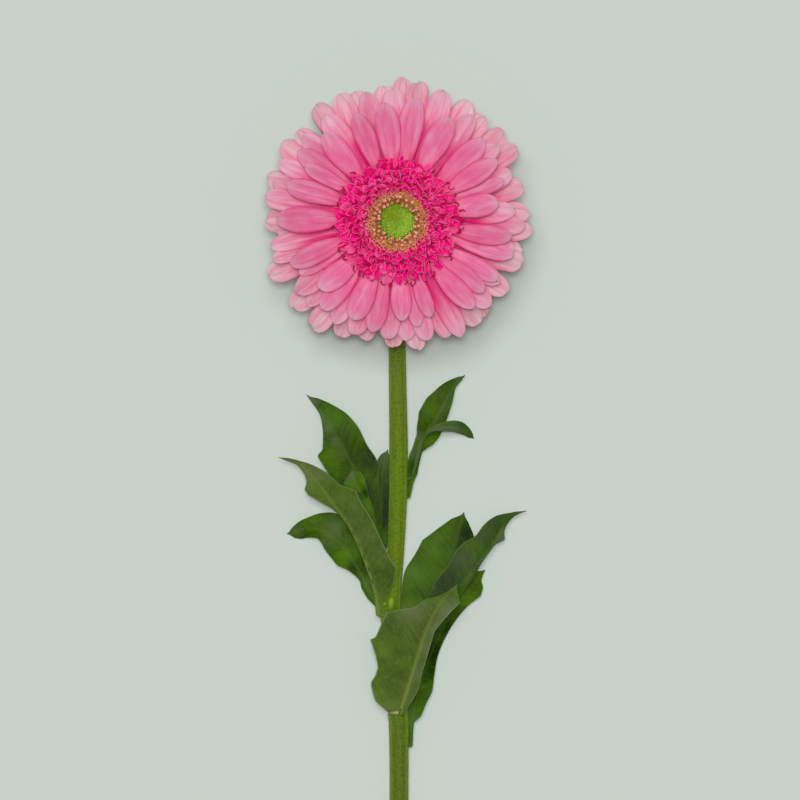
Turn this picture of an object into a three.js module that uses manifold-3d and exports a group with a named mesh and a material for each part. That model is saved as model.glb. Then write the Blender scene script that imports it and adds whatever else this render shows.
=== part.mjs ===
// A cut gerbera lying on a flat surface, its bloom turned up to face the sky.
// Millimetres, +Z up. The scape runs along Y with its cut end at -Y and the bloom at +Y.
// The plant is first laid out round the point under the bloom's centre, and the finished group is
// then shifted so that the origin is at the middle of its footprint, on the surface it lies on.
import * as THREE from "three";
import { mergeVertices } from "three/addons/utils/BufferGeometryUtils.js";
import Module from "manifold-3d";

const wasm = await Module();
wasm.setup();

// Driving dimensions
const CUT_END_Y = -341; // the scape's cut end, 400 mm below the bloom's upper edge
const NECK_BEND_RADIUS = 20; // the scape turns up under the bloom
const HEAD_LEAN_DEG = 4; // the bloom's axis leans a little towards the cut end
const HEAD_SHIFT_Y = 1.8; // brings the leaning disc over the layout's origin
const PETAL_THICKNESS = 0.7;
const FLORET_THICKNESS = 0.6;
const LEAF_THICKNESS = 0.7;
const BRACT_THICKNESS = 0.9;
const SEAT_GAP = 0.4; // clearance between pieces that sit on each other
const TURNED_SEGMENTS = 24;

// Heights in the bloom's own frame, from the bottom of the green cup
const FLANGE_TOP = 12; // the receptacle's flange, which carries the petals' collars
const BOSS_TOP = 17; // the receptacle's raised middle, which carries the disc
const BOSS_RADIUS = 9.5;
const COLLAR_INNER = BOSS_RADIUS + SEAT_GAP;
const COLLAR_OUTER = 12.3;
const DISC_RADIUS = 7;

const COLOURS = {
  scape: [0x6c8424, 0.55],
  leafTop: [0x3f6a1e, 0.5],
  leafUnder: [0x5c7436, 0.65],
  bracts: [0x5f7a2c, 0.6],
  petalsOuter: [0xf0a0b4, 0.5],
  petalsMiddle: [0xea88a6, 0.5],
  petalsInner: [0xe4709a, 0.5],
  transFlorets: [0xd8166c, 0.5],
  discFlorets: [0xb98a4c, 0.6],
  discCentre: [0x7fae2a, 0.6],
};

function material([color, roughness]) {
  return new THREE.MeshStandardMaterial({ color, roughness, metalness: 0 });
}

// Repeatable random numbers from 0 to 1.
function seededRandom(seed) {
  let state = seed;
  return () => {
    state = (state + 0x6d2b79f5) | 0;
    let t = Math.imul(state ^ (state >>> 15), 1 | state);
    t = (t + Math.imul(t ^ (t >>> 7), 61 | t)) ^ t;
    return ((t ^ (t >>> 14)) >>> 0) / 4294967296;
  };
}

function spread(random, size) {
  return (random() * 2 - 1) * size;
}

// Closed geometries and solids

function indexedGeometry(points, triangles) {
  const positions = points.flatMap((p) => [p.x, p.y, p.z]);
  return new THREE.BufferGeometry()
    .setAttribute("position", new THREE.Float32BufferAttribute(positions, 3))
    .setIndex(triangles);
}

// A closed tube through rings of points, all with the same count, with flat ends.
function loft(rings) {
  const sides = rings[0].length;
  const points = rings.flat();
  const triangles = [];
  for (let i = 0; i + 1 < rings.length; i++) {
    for (let k = 0; k < sides; k++) {
      const a = i * sides + k;
      const b = i * sides + ((k + 1) % sides);
      triangles.push(a, b, b + sides, a, b + sides, a + sides);
    }
  }
  const last = (rings.length - 1) * sides;
  for (let k = 1; k + 1 < sides; k++) {
    triangles.push(0, k + 1, k, last, last + k, last + k + 1);
  }
  return indexedGeometry(points, triangles);
}

// A closed thin blade round a middle surface, given as rows of points from root to tip.
// Both faces are split along the same diagonals.
function bladeGeometry(rows, thickness) {
  const across = rows[0].length;
  const count = rows.length * across;
  const at = (i, j) =>
    rows[THREE.MathUtils.clamp(i, 0, rows.length - 1)][THREE.MathUtils.clamp(j, 0, across - 1)];
  const upper = [];
  const lower = [];
  rows.forEach((row, i) =>
    row.forEach((p, j) => {
      const along = at(i + 1, j).clone().sub(at(i - 1, j));
      const side = at(i, j - 1).clone().sub(at(i, j + 1));
      const half = along.cross(side).normalize().multiplyScalar(thickness / 2);
      upper.push(p.clone().add(half));
      lower.push(p.clone().sub(half));
    }),
  );
  const triangles = [];
  const quad = (a, b, c, d) => triangles.push(a, b, c, a, c, d);
  for (let i = 0; i + 1 < rows.length; i++) {
    for (let j = 0; j + 1 < across; j++) {
      const a = i * across + j;
      quad(a, a + across, a + across + 1, a + 1);
      triangles.push(count + a, count + a + across + 1, count + a + across);
      triangles.push(count + a, count + a + 1, count + a + across + 1);
    }
    const left = i * across;
    const right = left + across - 1;
    quad(left, count + left, count + left + across, left + across);
    quad(right, right + across, count + right + across, count + right);
  }
  const tip = (rows.length - 1) * across;
  for (let j = 0; j + 1 < across; j++) {
    quad(j, j + 1, count + j + 1, count + j);
    quad(tip + j, count + tip + j, count + tip + j + 1, tip + j + 1);
  }
  return indexedGeometry([...upper, ...lower], triangles);
}

// A body turned about Z, from a profile of [radius, height] that closes on itself or on the axis.
function turned(profile) {
  const points = profile.map(([radius, height]) => new THREE.Vector2(radius, height));
  return new THREE.LatheGeometry(points, TURNED_SEGMENTS).rotateX(Math.PI / 2);
}

function signedVolume(positions, index) {
  const [a, b, c] = [new THREE.Vector3(), new THREE.Vector3(), new THREE.Vector3()];
  let sum = 0;
  for (let i = 0; i < index.length; i += 3) {
    a.fromArray(positions, index[i] * 3);
    b.fromArray(positions, index[i + 1] * 3);
    c.fromArray(positions, index[i + 2] * 3);
    sum += a.dot(b.cross(c)) / 6;
  }
  return sum;
}

// The geometry with only merged positions, its faces pointing out.
function tidyGeometry(geometry) {
  const bare = geometry.clone();
  for (const name of Object.keys(bare.attributes)) {
    if (name !== "position") bare.deleteAttribute(name);
  }
  const merged = mergeVertices(bare, 1e-4);
  const index = merged.index.array;
  if (signedVolume(merged.attributes.position.array, index) < 0) {
    for (let i = 0; i < index.length; i += 3) {
      [index[i + 1], index[i + 2]] = [index[i + 2], index[i + 1]];
    }
  }
  return merged;
}

function solid(geometry) {
  const tidy = tidyGeometry(geometry);
  return new wasm.Manifold(
    new wasm.Mesh({
      numProp: 3,
      vertProperties: new Float32Array(tidy.attributes.position.array),
      triVerts: new Uint32Array(tidy.index.array),
    }),
  );
}

function fused(core, pieces) {
  return pieces.reduce((sum, piece) => sum.add(solid(piece)), solid(core));
}

function geometryOf(made) {
  const mesh = made.getMesh();
  const geometry = new THREE.BufferGeometry();
  geometry.setAttribute("position", new THREE.BufferAttribute(mesh.vertProperties, 3));
  return geometry.setIndex(new THREE.BufferAttribute(mesh.triVerts, 1));
}

function named(name, geometry, colour) {
  const mesh = new THREE.Mesh(geometry, material(colour));
  mesh.name = name;
  return mesh;
}

// The scape and the receptacle: one grown stem

const SCAPE_SIDES = 16;

// [y, x, radius] of the scape where it lies on the surface, from the cut end to the neck's bend.
// It swells at the two places where leaves leave it.
const SCAPE_LINE = [
  [CUT_END_Y, 1.8, 4.15],
  [-300, 1.3, 4.05],
  [-255, 0.8, 4.0],
  [-220, 0.8, 4.1],
  [-205, 0.6, 4.35],
  [-190, -0.4, 4.0],
  [-173, -2.0, 4.0],
  [-163, -2.6, 4.45],
  [-152, -1.6, 3.6],
  [-137, -0.6, 3.6],
  [-116, 0.3, 3.95],
  [-95, 0.6, 3.95],
  [-72, 0.3, 3.75],
  [-50, 0, 3.65],
  [HEAD_SHIFT_Y - NECK_BEND_RADIUS, 0, 3.55],
];
const SCAPE_STEPS = 18;
const CUT_SLANT = 0.6; // the cut end leans back this much for each millimetre of height

// [height, radius] up the bloom's axis: the neck, the receptacle's cone, its flange and its boss.
const RECEPTACLE = [
  [0, 3.6],
  [2, 5.0],
  [5, 8.4],
  [8.5, 10.9],
  [FLANGE_TOP, 12],
  [FLANGE_TOP, BOSS_RADIUS],
  [BOSS_TOP, BOSS_RADIUS],
];

function ring(centre, across, up, radius) {
  return Array.from({ length: SCAPE_SIDES }, (_, k) => {
    const angle = ((k + 0.5) / SCAPE_SIDES) * 2 * Math.PI;
    return centre
      .clone()
      .addScaledVector(across, radius * Math.cos(angle))
      .addScaledVector(up, radius * Math.sin(angle));
  });
}

// The flat sides of a ring lie this share of its corner radius from its centre.
const FLAT_SHARE = Math.cos(Math.PI / SCAPE_SIDES);
const X_AXIS = new THREE.Vector3(1, 0, 0);

const neckRadius = SCAPE_LINE.at(-1)[2];
const bendCentre = new THREE.Vector3(
  0,
  HEAD_SHIFT_Y - NECK_BEND_RADIUS,
  neckRadius * FLAT_SHARE + NECK_BEND_RADIUS,
);
const bendEnd = Math.PI / 2 + THREE.MathUtils.degToRad(HEAD_LEAN_DEG);
const headPlace = bendCentre
  .clone()
  .add(new THREE.Vector3(0, Math.sin(bendEnd), -Math.cos(bendEnd)).multiplyScalar(NECK_BEND_RADIUS));

function scapeGeometry() {
  const rings = [];
  const line = new THREE.CatmullRomCurve3(
    SCAPE_LINE.map(([y, x, radius]) => new THREE.Vector3(x, y, radius)),
  );
  for (let i = 0; i <= SCAPE_STEPS; i++) {
    const { x, y, z: radius } = line.getPoint(i / SCAPE_STEPS);
    const centre = new THREE.Vector3(x, y, radius * FLAT_SHARE);
    rings.push(ring(centre, X_AXIS, new THREE.Vector3(0, 0, 1), radius));
  }
  for (const point of rings[0]) point.y += CUT_SLANT * point.z;
  const bendSteps = 6;
  for (let i = 1; i <= bendSteps; i++) {
    const angle = (bendEnd * i) / bendSteps;
    const out = new THREE.Vector3(0, Math.sin(angle), -Math.cos(angle));
    const centre = bendCentre.clone().addScaledVector(out, NECK_BEND_RADIUS);
    rings.push(ring(centre, X_AXIS, out.negate(), neckRadius));
  }
  const axis = new THREE.Vector3(0, Math.cos(bendEnd), Math.sin(bendEnd));
  const up = X_AXIS.clone().cross(axis);
  for (const [height, radius] of RECEPTACLE.slice(1)) {
    const centre = headPlace.clone().addScaledVector(axis, height);
    rings.push(ring(centre, X_AXIS, up, radius));
  }
  return loft(rings);
}

// The bloom, in its own frame: its axis is +Z and its origin is where the neck meets the green cup

function onAxis(azimuth, radius, sideways, height) {
  const [c, s] = [Math.cos(azimuth), Math.sin(azimuth)];
  return new THREE.Vector3(radius * c - sideways * s, radius * s + sideways * c, height);
}

// [share of the length, share of the full width] of a ray petal, narrow at its root, round at its tip.
const PETAL_OUTLINE = [
  [0, 0.22],
  [0.38, 0.62],
  [0.62, 1],
  [0.83, 0.86],
  [0.94, 0.6],
  [1, 0.24],
];
const COVERED_PETAL_OUTLINE = PETAL_OUTLINE.filter((_, i) => i !== 1);

// Three whorls of ray petals, each fused to a collar round the receptacle's boss. A whorl's surface
// starts at height base and follows base + rise * u + fall * u * u, where u runs from 0 at the
// petals' roots to 1 at WHORL_SPAN beyond them. A petal lies on it, one step above it or one below.
// Petals are [azimuth in degrees, reach from the axis, width, level].
const PETAL_ROOT = 10.9;
const WHORL_SPAN = 45;
const WHORLS = [
  {
    name: "ray_petals_outer",
    colour: COLOURS.petalsOuter,
    outline: COVERED_PETAL_OUTLINE,
    collar: [12.4, 13.7],
    surface: { base: 13.1, rise: 3.0, fall: -4.9 },
    step: 0.8,
    petals: [
      [3, 55, 9.2, 0], [15, 54.2, 9.2, 0], [31, 58.3, 8.8, 1], [39, 57.5, 9.2, -1], [50, 56.3, 9, 0],
      [58.5, 57.9, 10.2, 1], [81, 57.9, 9.6, 1], [87.5, 59.2, 8.6, -1], [95.5, 55.8, 9, 0],
      [108.5, 55.8, 9.4, -1], [114.5, 57.5, 9.6, 1], [125.5, 58.3, 9.4, 0], [138.5, 55.4, 9.2, -1],
      [147, 57.5, 9.2, 1], [162.5, 56.7, 9.6, 0], [180.5, 54.6, 9.6, 0], [204, 58.3, 10.2, 1],
      [220.5, 57.1, 10.4, 0], [232.5, 57.5, 9.8, 1], [244, 54.6, 9, -1], [255, 52.1, 7.6, 0],
      [268.5, 53.3, 8, 0], [279, 55, 9, 1], [307.5, 55.4, 9, 1], [313, 54.6, 8.4, -1],
      [326.5, 55, 9.6, 1], [340.5, 55.4, 9.6, 1], [346.5, 53.3, 7, -1], [355, 56.3, 9, 0],
    ],
  },
  {
    name: "ray_petals_middle",
    colour: COLOURS.petalsMiddle,
    outline: COVERED_PETAL_OUTLINE,
    collar: [14.1, 15.3],
    surface: { base: 14.7, rise: 5.0, fall: -3.4 },
    step: 0.8,
    petals: [
      [5, 49.2, 8.6, 1], [22.5, 51.7, 9, 0], [36.5, 52.1, 9, 1], [54.5, 53.8, 9.4, 0],
      [70, 57.5, 10.6, 1], [92, 55, 10.4, 1], [103.5, 55, 9.4, -1], [124.5, 52.9, 10.4, 1],
      [138, 52.5, 9.6, 0], [154, 55, 8, 1], [162.5, 54, 8.4, -1], [170, 55.8, 9.2, 0],
      [186.5, 50, 5.6, -1], [191.5, 53.8, 7.4, 1], [197.5, 54.2, 6.6, 0], [216, 51.7, 9.6, 1],
      [223.5, 51.7, 7, -1], [238.5, 50.4, 9.2, 0], [249.5, 50.8, 8.8, 1], [265.5, 49.6, 9, 0],
      [275, 50.5, 8.4, -1], [284, 51.7, 8.8, 1], [293.5, 53.3, 8, -1], [299.5, 55.4, 8.6, 1],
      [317, 52.9, 9, 0], [329, 50, 8.6, 1], [345, 50.4, 9.6, 0], [357, 53.3, 8.4, -1],
    ],
  },
  {
    name: "ray_petals_inner",
    colour: COLOURS.petalsInner,
    outline: PETAL_OUTLINE,
    collar: [15.7, 16.9],
    surface: { base: 16.3, rise: 9.2, fall: -3.8 },
    step: 1.1,
    arch: 0.45,
    petals: [
      [10.5, 42.9, 9.4, 1], [20.5, 47.5, 6.4, -1], [31.5, 48.8, 8.8, 1], [43, 49.6, 9.6, 0],
      [63, 48.3, 10.4, 1], [81.5, 51.7, 10.2, 0], [96, 49.6, 10, 1], [111, 48.3, 8.6, 0],
      [129.5, 47.5, 9.4, 1], [144.5, 50.4, 9.2, -1], [149, 44.6, 6.2, 1], [162, 48.3, 8.8, 0],
      [179, 50, 10.6, 1], [202.5, 47.9, 8.8, 1], [208.5, 46.3, 6.4, -1], [221, 42.9, 9.6, 1],
      [230, 48.3, 9.2, -1], [246, 45, 9.6, 1], [257.5, 47.5, 9.2, -1], [273, 41.7, 8.4, 1],
      [281, 45, 7.2, -1], [289, 42.5, 6.6, 0], [311.5, 48.3, 8.8, 1], [321, 46.7, 7.4, 0],
      [330, 48.3, 8, -1], [343, 50.4, 7.8, -1], [352, 48.3, 8.2, 1],
    ],
  },
];

// Rows of a ray petal's middle surface, from its root to its tip.
function rayPetalRows({ outline, surface, step, arch = 0 }, [azimuth, reach, width, level]) {
  const columns = arch ? [1, 0, -1] : [1, -1];
  return outline.map(([share, full]) => {
    const radius = THREE.MathUtils.lerp(PETAL_ROOT, reach, share);
    const u = (radius - PETAL_ROOT) / WHORL_SPAN;
    const lift = level * step * Math.min(1, 2 * u);
    const height = surface.base + surface.rise * u + surface.fall * u * u + lift;
    const half = (width / 2) * full;
    return columns.map((v) =>
      onAxis(THREE.MathUtils.degToRad(azimuth), radius, v * half, height + arch * full * (1 - v * v)),
    );
  });
}

function whorlSolid(whorl) {
  const [low, high] = whorl.collar;
  const core = turned([
    [COLLAR_INNER, low],
    [COLLAR_OUTER, low],
    [COLLAR_OUTER, high],
    [COLLAR_INNER, high],
    [COLLAR_INNER, low],
  ]);
  const petals = whorl.petals.map((petal) => bladeGeometry(rayPetalRows(whorl, petal), PETAL_THICKNESS));
  return fused(core, petals);
}

// Rows of a floret or bract. Its midline is a curve of [radius, height] from root over bend to tip.
function floretRows({ azimuth, root, bend, tip, width, twist = 0, outline }) {
  return outline.map(([share, full]) => {
    const [radius, height] = root.map(
      (start, k) => start * (1 - share) ** 2 + 2 * bend[k] * share * (1 - share) + tip[k] * share ** 2,
    );
    const half = (width / 2) * full;
    return [1, -1].map((v) => onAxis(azimuth, radius, v * half, height + twist * v * half * share));
  });
}

// The crowded short florets between the ray petals and the disc: a flaring collar that they stand out of.
const TRANS_ROWS = [
  { count: 27, root: [20.6, 20.6], bend: [23.6, 22.4], tip: [26.8, 22.4], width: 4.3 },
  { count: 23, root: [18.2, 21.2], bend: [20.6, 23.8], tip: [23.4, 23.9], width: 4.1 },
  { count: 20, root: [16.2, 21.6], bend: [17.6, 24.7], tip: [20.0, 25.1], width: 3.8 },
  { count: 17, root: [14.4, 21.8], bend: [14.8, 25.0], tip: [16.6, 25.8], width: 3.6 },
];
const LIGULE_OUTLINE = [
  [0, 0.7],
  [0.6, 1],
  [1, 0.55],
];

function transFloretSolid() {
  const random = seededRandom(41);
  const core = turned([
    [COLLAR_INNER, BOSS_TOP + 0.3],
    [11.2, BOSS_TOP + 0.3],
    [13, 18.2],
    [22.3, 20.8],
    [21.9, 21.6],
    [13.4, 22.9],
    [12.9, 22.6],
    [COLLAR_INNER, 18.6],
    [COLLAR_INNER, BOSS_TOP + 0.3],
  ]);
  const florets = TRANS_ROWS.flatMap(({ count, root, bend, tip, width }, row) =>
    Array.from({ length: count }, (_, i) => {
      const reach = spread(random, 0.5);
      return bladeGeometry(
        floretRows({
          azimuth: ((i + row / 2 + spread(random, 0.2)) / count) * 2 * Math.PI,
          root,
          bend,
          tip: [tip[0] + reach, tip[1] + spread(random, 0.3)],
          width: width * (1 + spread(random, 0.1)),
          twist: spread(random, 0.25),
          outline: LIGULE_OUTLINE,
        }),
        FLORET_THICKNESS,
      );
    }),
  );
  return fused(core, florets);
}

// The ring of open disc florets and buds round the green centre.
const DISC_RING_ROWS = [
  { count: 20, radius: 11.2, height: 22.6, size: [0.95, 1.6], lean: 0.2 },
  { count: 17, radius: 9.6, height: 22.5, size: [0.9, 1.8], lean: 0 },
  { count: 14, radius: 8.2, height: 22.1, size: [0.7, 1.6], lean: -0.15 },
];

function discRingSolid() {
  const random = seededRandom(53);
  const inner = DISC_RADIUS + 0.3;
  const core = turned([
    [inner, BOSS_TOP + 0.3],
    [9.4, BOSS_TOP + 0.3],
    [9.5, 18.7],
    [12.4, 22.4],
    [12.2, 22.8],
    [inner + 0.4, 22.0],
    [inner, 21.6],
    [inner, BOSS_TOP + 0.3],
  ]);
  const buds = DISC_RING_ROWS.flatMap(({ count, radius, height, size, lean }) =>
    Array.from({ length: count }, (_, i) => {
      const azimuth = ((i + spread(random, 0.2)) / count) * 2 * Math.PI;
      const bud = new THREE.OctahedronGeometry(1, 0);
      bud.scale(size[0], size[0], size[1] * (1 + spread(random, 0.15)));
      bud.rotateY(lean);
      bud.translate(radius, 0, height + spread(random, 0.2));
      return bud.rotateZ(azimuth);
    }),
  );
  return fused(core, buds);
}

// The green centre: a low dome in relief, one bump for each unopened floret of its rings.
function discCentreGeometry() {
  const rings = 6;
  const around = 24;
  const crown = 1.7;
  const relief = 0.22;
  const base = BOSS_TOP + 0.3;
  const edge = 20.9;
  const rows = [];
  const circle = (radius, height) =>
    Array.from({ length: around }, (_, k) => {
      const bump = relief * Math.cos((k + rows.length) * Math.PI);
      return onAxis((k / around) * 2 * Math.PI, radius, 0, height(bump));
    });
  rows.push(circle(DISC_RADIUS, () => base));
  for (let i = 0; i < rings; i++) {
    const share = 1 - i / rings;
    rows.push(circle(DISC_RADIUS * share, (bump) => edge + crown * (1 - share * share) + bump));
  }
  return loft(rows);
}

// The green cup under the petals: a shell round the receptacle with rows of pointed bracts.
const BRACT_ROWS = [
  { count: 12, root: [8.2, 1.6], bend: [11.1, 3.4], tip: [14.8, 8.4], width: 4.4 },
  { count: 12, root: [11.0, 4.2], bend: [12.9, 6.1], tip: [15.2, 11.0], width: 5.6 },
];
const BRACT_OUTLINE = [
  [0, 0.8],
  [0.55, 1],
  [1, 0.22],
];

function involucreSolid() {
  const random = seededRandom(67);
  const core = turned([
    [4.4, 0.2],
    [9.2, 4.6],
    [11.7, 8.2],
    [12.7, 11.4],
    [14.2, 11.4],
    [13.8, 8.0],
    [11.0, 3.4],
    [5.6, -0.6],
    [4.4, 0.2],
  ]);
  const bracts = BRACT_ROWS.flatMap(({ count, root, bend, tip, width }, row) =>
    Array.from({ length: count }, (_, i) =>
      bladeGeometry(
        floretRows({
          azimuth: ((i + row / 2 + spread(random, 0.1)) / count) * 2 * Math.PI,
          root,
          bend,
          tip: [tip[0], tip[1] + spread(random, 0.4)],
          width,
          outline: BRACT_OUTLINE,
        }),
        BRACT_THICKNESS,
      ),
    ),
  );
  return fused(core, bracts);
}

// The leaves

// A leaf is drawn in plan. Its midrib runs from the scape to the tip through [x, y, height].
// left and right are its margins, seen from the root: [share of the midrib, half-width].
// slope gives how steeply each half rises away from the midrib, and curl how much its margin
// lifts beyond that. A leaf that shows its underside is drawn in the paler colour.
const LEAVES = [
  {
    name: "leaf_upper_left_back",
    midrib: [
      [-7.2, -154, 2.6], [-10.6, -124, 3.2], [-17.5, -104, 4.2],
      [-24.5, -90.5, 5], [-31, -79.5, 4], [-37.7, -72, 1.4],
    ],
    left: [
      [0, 1.2], [0.24, 2.6], [0.42, 6], [0.58, 10.4], [0.705, 10.6], [0.735, 7.6], [0.81, 4],
      [0.9, 1.2], [1, 0.4],
    ],
    right: [
      [0, 1], [0.24, 3.2], [0.34, 4], [0.42, 5.7], [0.49, 7.7], [0.58, 10.2], [0.66, 9.3],
      [0.735, 9.7], [0.81, 8.6], [0.9, 4.6], [0.95, 2.4], [1, 0.4],
    ],
    slope: [0.06, -0.08],
    curl: [0.04, 0],
    wave: 0.4,
  },
  {
    name: "leaf_upper_left_front",
    underside: true,
    midrib: [
      [-7.8, -164, 7.4], [-9, -155, 7.6], [-13, -142, 7.9], [-19.5, -127.5, 8.6],
      [-27, -117, 9.2], [-35, -106.5, 8.6], [-41.5, -100.8, 7.2], [-49.4, -98.1, 4.6],
    ],
    left: [
      [0, 0.9], [0.52, 0.7], [0.6, 1.4], [0.64, 3], [0.73, 6.3], [0.765, 6.1], [0.795, 3.2],
      [0.84, 1.5], [0.9, 0.6], [1, 0.4],
    ],
    right: [
      [0, 1], [0.08, 4.1], [0.13, 8], [0.2, 11.3], [0.26, 10], [0.37, 9.4], [0.52, 9.5],
      [0.6, 10.8], [0.64, 8.9], [0.68, 6.8], [0.765, 5.4], [0.84, 3.2], [0.9, 1.3], [1, 0.4],
    ],
    slope: [-0.05, 0.2],
    curl: [0, 0.05],
    wave: 0.3,
  },
  {
    name: "leaf_upper_left_low",
    midrib: [
      [-8.4, -160, 3.4], [-12.6, -151.5, 4], [-19, -140, 4.4], [-24.5, -133, 4.6],
      [-31, -128.4, 4.2], [-38, -127.6, 2.8], [-45.9, -130.1, 0.5],
    ],
    left: [
      [0, 0.8], [0.1, 2.4], [0.17, 2.5], [0.22, 1.8], [0.32, 3.5], [0.44, 6.9], [0.53, 7],
      [0.6, 6.5], [0.67, 5.2], [0.75, 4.1], [0.89, 4.1], [0.96, 2.6], [1, 0.5],
    ],
    right: [
      [0, 0.8], [0.1, 2.1], [0.32, 3.7], [0.44, 5], [0.6, 7.9], [0.67, 8.7], [0.75, 6.6],
      [0.82, 4.5], [0.89, 3], [0.96, 1.4], [1, 0.5],
    ],
    slope: [-0.12, 0.05],
    curl: [-0.08, -0.12],
    wave: 0.35,
  },
  {
    name: "leaf_upper_left_small",
    midrib: [
      [-5.8, -150, 5.2], [-7.8, -136, 5.6], [-10.5, -121, 6.2], [-14.5, -113, 6.7],
      [-17.3, -107.5, 7], [-19, -103.3, 7],
    ],
    left: [[0, 0.8], [0.34, 0.8], [0.68, 2.6], [0.82, 3.4], [0.91, 5.7], [0.965, 2.4], [1, 0.5]],
    right: [[0, 0.6], [0.34, 0.6], [0.53, 0.8], [0.68, 1.4], [0.82, 3], [0.91, 3.6], [0.965, 3.2], [1, 0.9]],
    slope: [-0.1, 0.3],
    curl: [0, 0],
    wave: 0.1,
  },
  {
    name: "leaf_upper_tucked",
    midrib: [[-6.3, -143, 1.5], [-6.7, -128, 1.3], [-6.6, -115, 1.3], [-5.9, -104, 1.4], [-3.9, -94.8, 1.6]],
    left: [[0, 0.8], [0.3, 2.4], [0.55, 3.2], [0.8, 3.2], [0.9, 3], [1, 0.4]],
    right: [[0, 0.6], [0.3, 1.9], [0.55, 2.2], [0.8, 1.5], [1, 0.4]],
    slope: [0, 0],
    curl: [0, 0],
    wave: 0.1,
  },
  {
    name: "leaf_upper_right_tall",
    midrib: [
      [5.4, -115, 3.2], [6.6, -107, 3.4], [8.6, -97, 4], [11.5, -88.7, 4.6], [15.4, -82.8, 4.9],
      [19.2, -76, 4.8], [23, -69, 3.8], [28.4, -63.8, 2.2],
    ],
    left: [
      [0, 0.6], [0.19, 1.6], [0.29, 3.3], [0.37, 2.8], [0.44, 3], [0.51, 5], [0.6, 7.3], [0.69, 7.3],
      [0.8, 5.4], [0.9, 2.7], [1, 0.4],
    ],
    right: [
      [0, 0.6], [0.12, 0.7], [0.19, 1.5], [0.34, 1.5], [0.37, 2.5], [0.44, 5.1], [0.51, 5.7],
      [0.6, 4.8], [0.69, 3.9], [0.8, 2.7], [0.9, 1], [1, 0.4],
    ],
    slope: [0.16, -0.22],
    curl: [0.08, -0.05],
    wave: 0.25,
  },
  {
    name: "leaf_upper_right_arched",
    midrib: [
      [6, -107, 5.2], [8.2, -99.5, 6.4], [10.2, -91.6, 7.8], [13.4, -87.2, 8.7], [18.5, -85.3, 8.8],
      [24, -85, 7.2], [28.4, -86.6, 4], [32.2, -90.3, 0.5],
    ],
    left: [[0, 0.6], [0.3, 0.8], [0.49, 0.9], [0.63, 1.7], [0.78, 2.4], [0.91, 1.4], [1, 0.4]],
    right: [[0, 0.6], [0.3, 0.8], [0.49, 0.9], [0.63, 2.2], [0.78, 2.6], [0.91, 1.9], [1, 0.4]],
    slope: [0.2, -0.5],
    curl: [0, 0],
    wave: 0.1,
  },
  {
    name: "leaf_lower_right_broad",
    midrib: [
      [6.4, -199, 4.6], [7.2, -184.6, 4.7], [10.4, -170, 4.6], [16.5, -155.4, 4.2],
      [22.5, -141, 3.2], [25.8, -130, 1.8], [28, -121.1, 0.6],
    ],
    left: [
      [0, 0.6], [0.12, 0.8], [0.26, 2.8], [0.34, 6.2], [0.43, 10.6], [0.48, 12.8], [0.54, 15], [0.61, 16],
      [0.69, 15], [0.8, 13.9], [0.88, 9.2], [0.95, 4.6], [1, 0.5],
    ],
    right: [
      [0, 0.8], [0.26, 3.4], [0.43, 5.6], [0.61, 6.8], [0.8, 7.6], [0.88, 6.8], [0.95, 3], [1, 0.5],
    ],
    slope: [-0.1, -0.08],
    curl: [-0.03, 0],
    wave: 0.35,
  },
  {
    name: "leaf_lower_right_long",
    midrib: [
      [4.8, -201.5, 7], [8.6, -186, 7.4], [13.4, -170, 8], [20.4, -159, 8.2], [27.5, -150.2, 7.8],
      [34, -142, 7], [39.5, -134.8, 6.2], [45.5, -126, 5.4], [54, -120.5, 4.2],
    ],
    left: [
      [0, 0.6], [0.14, 0.8], [0.3, 2.4], [0.4, 5.4], [0.5, 9], [0.6, 9.2], [0.67, 10.6], [0.72, 9.6],
      [0.78, 7.7], [0.83, 7.3], [0.86, 6.4], [0.89, 4.8], [0.95, 0.9], [1, 0.4],
    ],
    right: [
      [0, 0.6], [0.14, 1.2], [0.3, 3.2], [0.4, 4], [0.5, 3], [0.6, 2.4], [0.72, 1], [0.78, 0.9],
      [0.83, 3.6], [0.86, 1.7], [0.89, 1.1], [1, 0.4],
    ],
    slope: [0.05, -0.5],
    curl: [0.05, 0],
    wave: 0.3,
  },
  {
    name: "leaf_lower_front",
    underside: true,
    midrib: [
      [1.2, -205.2, 9.4], [4.6, -194.6, 10.4], [8.6, -181.7, 12], [12.3, -170.4, 13.2],
      [16, -162.2, 13.8], [20, -156.4, 13.6], [25.4, -151, 12.2],
    ],
    left: [
      [0, 6.6], [0.03, 11], [0.07, 13], [0.15, 15.4], [0.21, 14.6], [0.25, 14.6], [0.32, 16.4],
      [0.43, 21.2], [0.46, 19.4], [0.53, 18.8], [0.62, 18.3], [0.67, 13.4], [0.72, 8.2], [0.78, 6.2],
      [0.85, 2.4], [0.92, 0.7], [1, 0.4],
    ],
    right: [
      [0, 1.4], [0.07, 2.6], [0.21, 4.1], [0.32, 3.8], [0.46, 3.6], [0.62, 3.3], [0.72, 4.8],
      [0.85, 6], [0.92, 6.4], [0.955, 3], [1, 0.4],
    ],
    slope: [-0.06, 0.5],
    curl: [-0.02, 0],
    wave: 0.45,
  },
  {
    name: "leaf_lower_right_edge",
    midrib: [
      [5.9, -218.5, 3.6], [6.4, -209, 3.4], [8.4, -198, 2.6], [11.6, -187.5, 1.6], [16.6, -175, 1],
      [23, -163.8, 1], [29.6, -155, 1.4], [36.7, -145.2, 2.4],
    ],
    left: [[0, 0.4], [0.11, 0.5], [0.3, 2.2], [0.5, 2.6], [0.79, 2], [0.92, 1.6], [1, 0.5]],
    right: [
      [0, 0.5], [0.11, 0.6], [0.16, 3.2], [0.24, 4.5], [0.3, 5.5], [0.39, 4.3], [0.5, 2.8],
      [0.63, 2.5], [0.79, 3.1], [0.88, 4.9], [0.92, 3.7], [0.95, 1.2], [1, 0.5],
    ],
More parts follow.
